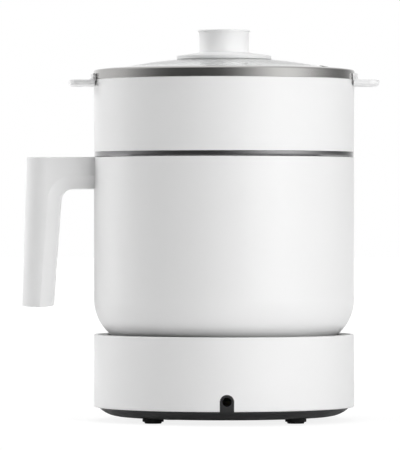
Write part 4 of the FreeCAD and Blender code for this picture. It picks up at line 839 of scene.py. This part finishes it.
# %% A tree that winds a spring
winder, given = start_tree("wound_spring", Coil_Radius="Float", Wire_Radius="Float", Turns="Float",
                           Rise="Float", Base="Float", Finish="Material")
coil = add(winder, "GeometryNodeCurveSpiral", {
    "Resolution": 28, "Rotations": given["Turns"], "Start Radius": given["Coil Radius"],
    "End Radius": given["Coil Radius"], "Height": given["Rise"]})
wire = add(winder, "GeometryNodeCurvePrimitiveCircle", {"Resolution": 10, "Radius": given["Wire Radius"]})
wound = add(winder, "GeometryNodeCurveToMesh", {"Curve": coil, "Profile Curve": wire, "Fill Caps": True})
lift = add(winder, "ShaderNodeCombineXYZ", {"Z": given["Base"]})
raised = add(winder, "GeometryNodeTransform", {"Geometry": wound, "Translation": lift})
end_tree(winder, raised, given)
print("spring:", len(winder.nodes), "nodes")

# %% Sensor spring
coil_r, wire_r, coil_turns = 9.0, 0.6, 6.0
end_room = 0.65  # from the middle of the wire to each seat
low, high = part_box("sensor_spring")
spring = run_tree("sensor_spring_wound", bpy.data.meshes.new("spring"), winder, Coil_Radius=coil_r * mm,
                  Wire_Radius=wire_r * mm, Turns=coil_turns, Rise=high.z - low.z - 2 * end_room * mm,
                  Base=low.z + end_room * mm, Finish=drawn)
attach(spring, "base")
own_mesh(spring)
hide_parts("sensor_spring")
print(spring.name, round(volume(spring), 3), "cm3", len(spring.data.polygons), "faces")

# %% [markdown]
# ## Dial with its scale
# The dial is a round skirt with fine grip ribs and a bar across it. The skirt is turned, the ribs are
# one small rounded bar copied round a circle, and the grip is a bar with arched ends and bevelled
# edges. It is all made on the upright axis and then laid over, so that what was up points out of the
# drum.

# %% Lay a piece over onto the dial's axis
dial_y, dial_z = 94.4, 34.0  # the skirt's back, and the dial's axis
onto_dial = Matrix.Translation((0.0, dial_y * mm, dial_z * mm)) @ Matrix.Rotation(math.radians(-90), 4, "X")


def join(name, *pieces):
    """One mesh from several pieces, with their finishes."""
    with bpy.context.temp_override(active_object=pieces[0], selected_editable_objects=list(pieces)):
        bpy.ops.object.join()
    pieces[0].name = name
    pieces[0].data.name = name
    return pieces[0]


def bevelled(name, corners, low, high, bevel_mm, material):
    """Upright prism over a plan in mm, with all of its edges rounded."""
    mesh = bpy.data.meshes.new(name)
    count = len(corners)
    points = [(x * mm, y * mm, z * mm) for z in (low, high) for x, y in corners]
    sides = [(i, (i + 1) % count, (i + 1) % count + count, i + count) for i in range(count)]
    mesh.from_pydata(points, [], [tuple(reversed(range(count))), tuple(range(count, 2 * count)), *sides])
    mesh.materials.append(material)
    piece = put(name, mesh)
    edge = piece.modifiers.new("rounded edges", "BEVEL")
    edge.width, edge.segments = bevel_mm * mm, 3
    edge.limit_method, edge.angle_limit = "ANGLE", math.radians(40)
    return keep_result(piece, name)


print("the dial's axis is", dial_z, "mm up, and its back", dial_y, "mm from the pot's axis")

# %% Skirt, ribs and bar
shaft_r, skirt_back_r, skirt_front_r, skirt_h = 3.0, 14.7, 14.45, 5.0
section = [(shaft_r, 0.0), (skirt_back_r, 0.0, 0.2), (skirt_front_r, skirt_h, 0.8), (shaft_r, skirt_h)]
skirt = turn("dial_skirt", section, abs_white, steps=96)

rib_count, rib_circle_r, rib_w, rib_in, rib_out = 40, 14.58, 0.9, 0.45, 0.4
plan = [(-rib_in, -rib_w / 2), (rib_out, -rib_w / 2), (rib_out, rib_w / 2), (-rib_in, rib_w / 2)]
rib = bevelled("dial_rib", plan, 0.4, 4.0, 0.2, abs_white)
ribs = run_tree("dial_ribs", rib.data, copies, Count=rib_count, Circle_Radius=rib_circle_r * mm,
                Start_Angle=0.0, Step_Angle=2 * math.pi / rib_count, Centre=(0.0, 0.0, 0.0),
                Finish=abs_white)
bpy.data.objects.remove(rib)

bar_r, bar_w, bar_low, bar_high, end_steps = 14.0, 7.0, 4.6, 13.45, 6
across = [bar_w * (0.5 - i / end_steps) for i in range(end_steps + 1)]
plan = [(x, math.sqrt(bar_r**2 - x * x)) for x in across]
plan += [(-x, -y) for x, y in plan]
bar = bevelled("dial_bar", plan, bar_low, bar_high, 0.9, abs_white)
knob = join("dial_moulded", skirt, ribs, bar)
knob.data.transform(onto_dial)
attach(knob, "dial")
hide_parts("dial")
print(knob.name, round(volume(knob), 2), "cm3", len(knob.data.polygons), "faces")

# %% [markdown]
# ## Ticks and numbers round the dial
# The scale is printed on the flat seat behind the dial. The dial turns through 270 degrees, so there is
# a tick every 13.5 degrees and a number at every fourth one. The ticks are copies on part of a circle;
# the numbers are text turned into a mesh before they are set in place. Ink is a few hundredths of a
# millimetre thick, just enough to stand clear of the seat.

# %% Printed scale
ink_level, ink_t, print_t = -0.36, 0.03, 0.015
tick_l, tick_w, tick_circle_r, tick_step = 1.1, 0.32, 16.2, 13.5
number_size, number_circle_r, number_step = 2.9, 18.4, 4 * tick_step
dial_range = 270.0

plan = [(x * tick_l / 2, y * tick_w / 2) for x, y in ((-1, -1), (1, -1), (1, 1), (-1, 1))]
tick = bevelled("tick", plan, ink_level - ink_t, ink_level, 0.005, ink)
ticks = run_tree("ticks", tick.data, copies, Count=round(dial_range / tick_step) + 1,
                 Circle_Radius=tick_circle_r * mm, Start_Angle=math.radians(-90),
                 Step_Angle=math.radians(-tick_step), Centre=(0.0, 0.0, 0.0), Finish=ink)
bpy.data.objects.remove(tick)
prints = [ticks]
upright_print = Matrix.Rotation(math.pi, 4, "Z")
for number in range(round(dial_range / number_step) + 1):
    letters = bpy.data.curves.new("number", "FONT")
    letters.body, letters.size, letters.extrude = str(number), number_size * mm, print_t * mm
    letters.align_x, letters.align_y = "CENTER", "CENTER"
    shown = put("number", letters)
    flat = plain_mesh(shown)
    bpy.data.objects.remove(shown)
    turned_by = math.radians(number_step * number)
    out = Vector((-math.sin(turned_by), -math.cos(turned_by), 0.0)) * number_circle_r
    out.z = ink_level - print_t
    flat.transform(Matrix.Translation(out * mm) @ upright_print)
    flat.materials.clear()
    flat.materials.append(ink)
    prints.append(put("number", flat))
scale = join("dial_scale_printed", *prints)
scale.data.transform(onto_dial)
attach(scale, "base")
print(scale.name, len(scale.data.polygons), "faces")

# %% [markdown]
# ## Finishes of the pieces that keep their solid
# The drum, the handle, the steamer ring and what is inside the base already have their true shape, so
# they only get their material. The material goes into each slot of the object.

# %% Give every kept piece its finish
kept = {
    abs_white: ["base_shell", "dial_seat"],
    # the handle takes the brightened white: painted light against the shade on it
    abs_white_brightened_for_shade: ["handle_shell", "handle_cover"],
    abs_grey: ["recess_dish"],
    pp_white: ["steamer_ring"],
    abs_charcoal: ["bottom_cover", "inlet_bushing"],
    silicone: ["lid_seal", "upper_washer", "lower_washer", "pot_gasket"],
    cast_aluminium: ["heating_plate", "sensor_cap", "pot_base_disc"],
    sheath: ["heating_tube"],
    zinc: ["handle_bracket", "support_pan", "plate_standoffs", "sensor_guide", "dial_shaft"],
    nickel: ["thermal_fuse"],
    phenolic: ["rotary_switch", "thermostat"],
    nylon: ["terminal_block"],
    sleeve: ["internal_leads"],
    board_green: ["control_board"],
    lens: ["lamp_lens"],
    ink: ["dial_pointer"],
    brass: ["knob_insert"],
}
for material, nodes in kept.items():
    for node in nodes:
        for material_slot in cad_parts[node].material_slots:
            material_slot.material = material
shown = [node for node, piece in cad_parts.items() if not piece.hide_render]
print("kept solids:", len(shown), "without a finish:", sorted(set(shown) - set(sum(kept.values(), []))))

# %% [markdown]
# ## Floor
# The pot stands on a wide white table. A plain white diffuse table takes the soft shadow of the feet
# and the drum. To the camera and through the glass, most of its brightness is its own: three quarters
# near the pot, and all of it further out, where the table runs over into the white room. Shiny faces
# see that brightness only behind the pot, because the studio in front of it is dim.

# %% A wide pale floor
half, glow_strength = 12.0, 1.12
near_r, far_r, near_share = 0.5, 1.6, 0.76
plane = bpy.data.meshes.new("floor")
plane.from_pydata([(-half, -half, 0.0), (half, -half, 0.0), (half, half, 0.0), (-half, half, 0.0)], [],
                  [(0, 1, 2, 3)])
floor = put("floor", plane)
paper, tree, shader = finish("white_table", "#F0F0F0", 0.8, Specular_IOR_Level=0.0)
ways = add(tree, "ShaderNodeLightPath").outputs
here = add(tree, "ShaderNodeTexCoord").outputs["Object"]
back = add(tree, "ShaderNodeSeparateXYZ", {0: here}).outputs["Y"]
behind = add(tree, "ShaderNodeMapRange", {"Value": back, "From Min": -0.1, "From Max": 0.9})
seen = add(tree, "ShaderNodeMath", {0: ways["Is Glossy Ray"], 1: behind}, operation="MULTIPLY")
for kind in ("Is Camera Ray", "Is Transmission Ray"):
    seen = add(tree, "ShaderNodeMath", {0: seen, 1: ways[kind]}, operation="MAXIMUM")
glow = add(tree, "ShaderNodeEmission", {"Color": (1.0, 1.0, 1.0, 1.0), "Strength": glow_strength})
outward = add(tree, "ShaderNodeMapRange", {
    "Value": radius(tree), "From Min": near_r, "From Max": far_r, "To Min": near_share})
own = add(tree, "ShaderNodeMath", {0: seen, 1: outward}, operation="MULTIPLY")
mixed = add(tree, "ShaderNodeMixShader", {0: own, 1: shader, 2: glow})
fill(tree, tree.nodes["Material Output"], {"Surface": mixed})
plane.materials.append(paper)
print("floor:", 2 * half, "m wide")

# %% [markdown]
# ## Camera
# A long lens far away keeps the round levels nearly straight and the walls parallel, as on a catalogue
# picture. The camera stands at half the height of the pot and looks a tenth of a degree down.

# %% Camera
stand, target = Vector((-0.0172, -3.1, 0.1457)), Vector((-0.0172, 0.0, 0.1396))
camera_data = bpy.data.cameras.new("camera")
camera_data.sensor_fit = "VERTICAL"
camera_data.sensor_height = 36.0
camera_data.lens = 346.66
camera = put("camera", camera_data)
camera.location = stand
camera.rotation_euler = (target - stand).to_track_quat("-Z", "Y").to_euler()
bpy.context.scene.camera = camera
print("camera at", tuple(round(v, 3) for v in camera.location))

# %% [markdown]
# ## World and lamps
# The room is plain white to the camera and to rays through the glass. What shines back from metal and
# plastic is a studio: dim behind the camera, one wide soft wall of light at the front right, one at the
# back left, and white behind the pot. Each of these walls is a cosine to a power, so that it fades
# without an edge. Diffuse light is an even grey, and large lamps stand round the pot: each is given by
# its direction seen from above, its height, its distance, its size and its power.

# %% Room
world = bpy.data.worlds.new("room")
bpy.context.scene.world = world
world.use_nodes = True
tree = world.node_tree
way = add(tree, "ShaderNodeTexCoord").outputs["Generated"]
even, dim, ceiling_strength = 0.09, 0.065, 0.9
soft_walls = (
    # direction in degrees from the camera's side towards +X, power of the cosine, strength
    (55, 5.0, 1.00), (-120, 3.0, 0.62), (180, 6.0, 0.85), (110, 2.0, 0.10),
)
lights = [(add(tree, "ShaderNodeSeparateXYZ", {0: way}).outputs["Z"], 2.0, ceiling_strength)]
for direction_deg, power, strength in soft_walls:
    turn_by = math.radians(direction_deg)
    toward = (math.sin(turn_by), -math.cos(turn_by), 0.0)
    along = add(tree, "ShaderNodeVectorMath", {0: way, 1: toward}, operation="DOT_PRODUCT")
    lights.append((along.outputs["Value"], power, strength))
shine = dim
for cosine, power, strength in lights:
    ahead = add(tree, "ShaderNodeMath", {0: cosine, 1: 0.0}, operation="MAXIMUM")
    lobe = add(tree, "ShaderNodeMath", {0: ahead, 1: power}, operation="POWER")
    shine = add(tree, "ShaderNodeMath", {0: lobe, 1: strength, 2: shine}, operation="MULTIPLY_ADD")
ways = add(tree, "ShaderNodeLightPath").outputs
lit = add(tree, "ShaderNodeMix", {0: ways["Is Glossy Ray"], 2: even, 3: shine})
plain = add(tree, "ShaderNodeMath", {0: ways["Is Camera Ray"], 1: ways["Is Transmission Ray"]},
            operation="MAXIMUM")
white = add(tree, "ShaderNodeMix", {0: plain, 2: lit, 3: 1.0})
sky = add(tree, "ShaderNodeCombineColor", {0: white, 1: white, 2: white})
fill(tree, tree.nodes["Background"], {"Color": sky, "Strength": 1.0})
print("room: even light", even)

# %% Lamps
lamps = {
    # name: (direction in degrees, height in degrees, distance, width, height, watts)
    "front_right_softbox": (40, 10, 2.2, 1.8, 1.8, 43.5),
    "back_left_softbox": (-108, 10, 2.2, 1.0, 1.8, 40.0),
    "back_panel": (160, 10, 2.2, 1.6, 1.8, 15.0),
    "top_panel": (0, 85, 2.2, 1.6, 1.6, 19.0),
}
middle = Vector((0.0, 0.0, 0.14))
for name, (turn_deg, rise_deg, distance, width, height, watts) in lamps.items():
    data = bpy.data.lights.new(name, "AREA")
    data.shape, data.size, data.size_y, data.energy = "RECTANGLE", width, height, watts
    lamp = put(name, data)
    turn_by, rise = math.radians(turn_deg), math.radians(rise_deg)
    way = Vector((math.cos(rise) * math.sin(turn_by), -math.cos(rise) * math.cos(turn_by), math.sin(rise)))
    lamp.location = middle + way * distance
    lamp.rotation_euler = (-way).to_track_quat("-Z", "Y").to_euler()
    lamp.visible_camera, lamp.visible_glossy, lamp.visible_transmission = False, False, False
bpy.context.scene.view_settings.view_transform = "Standard"
print("lamps:", len(lamps))
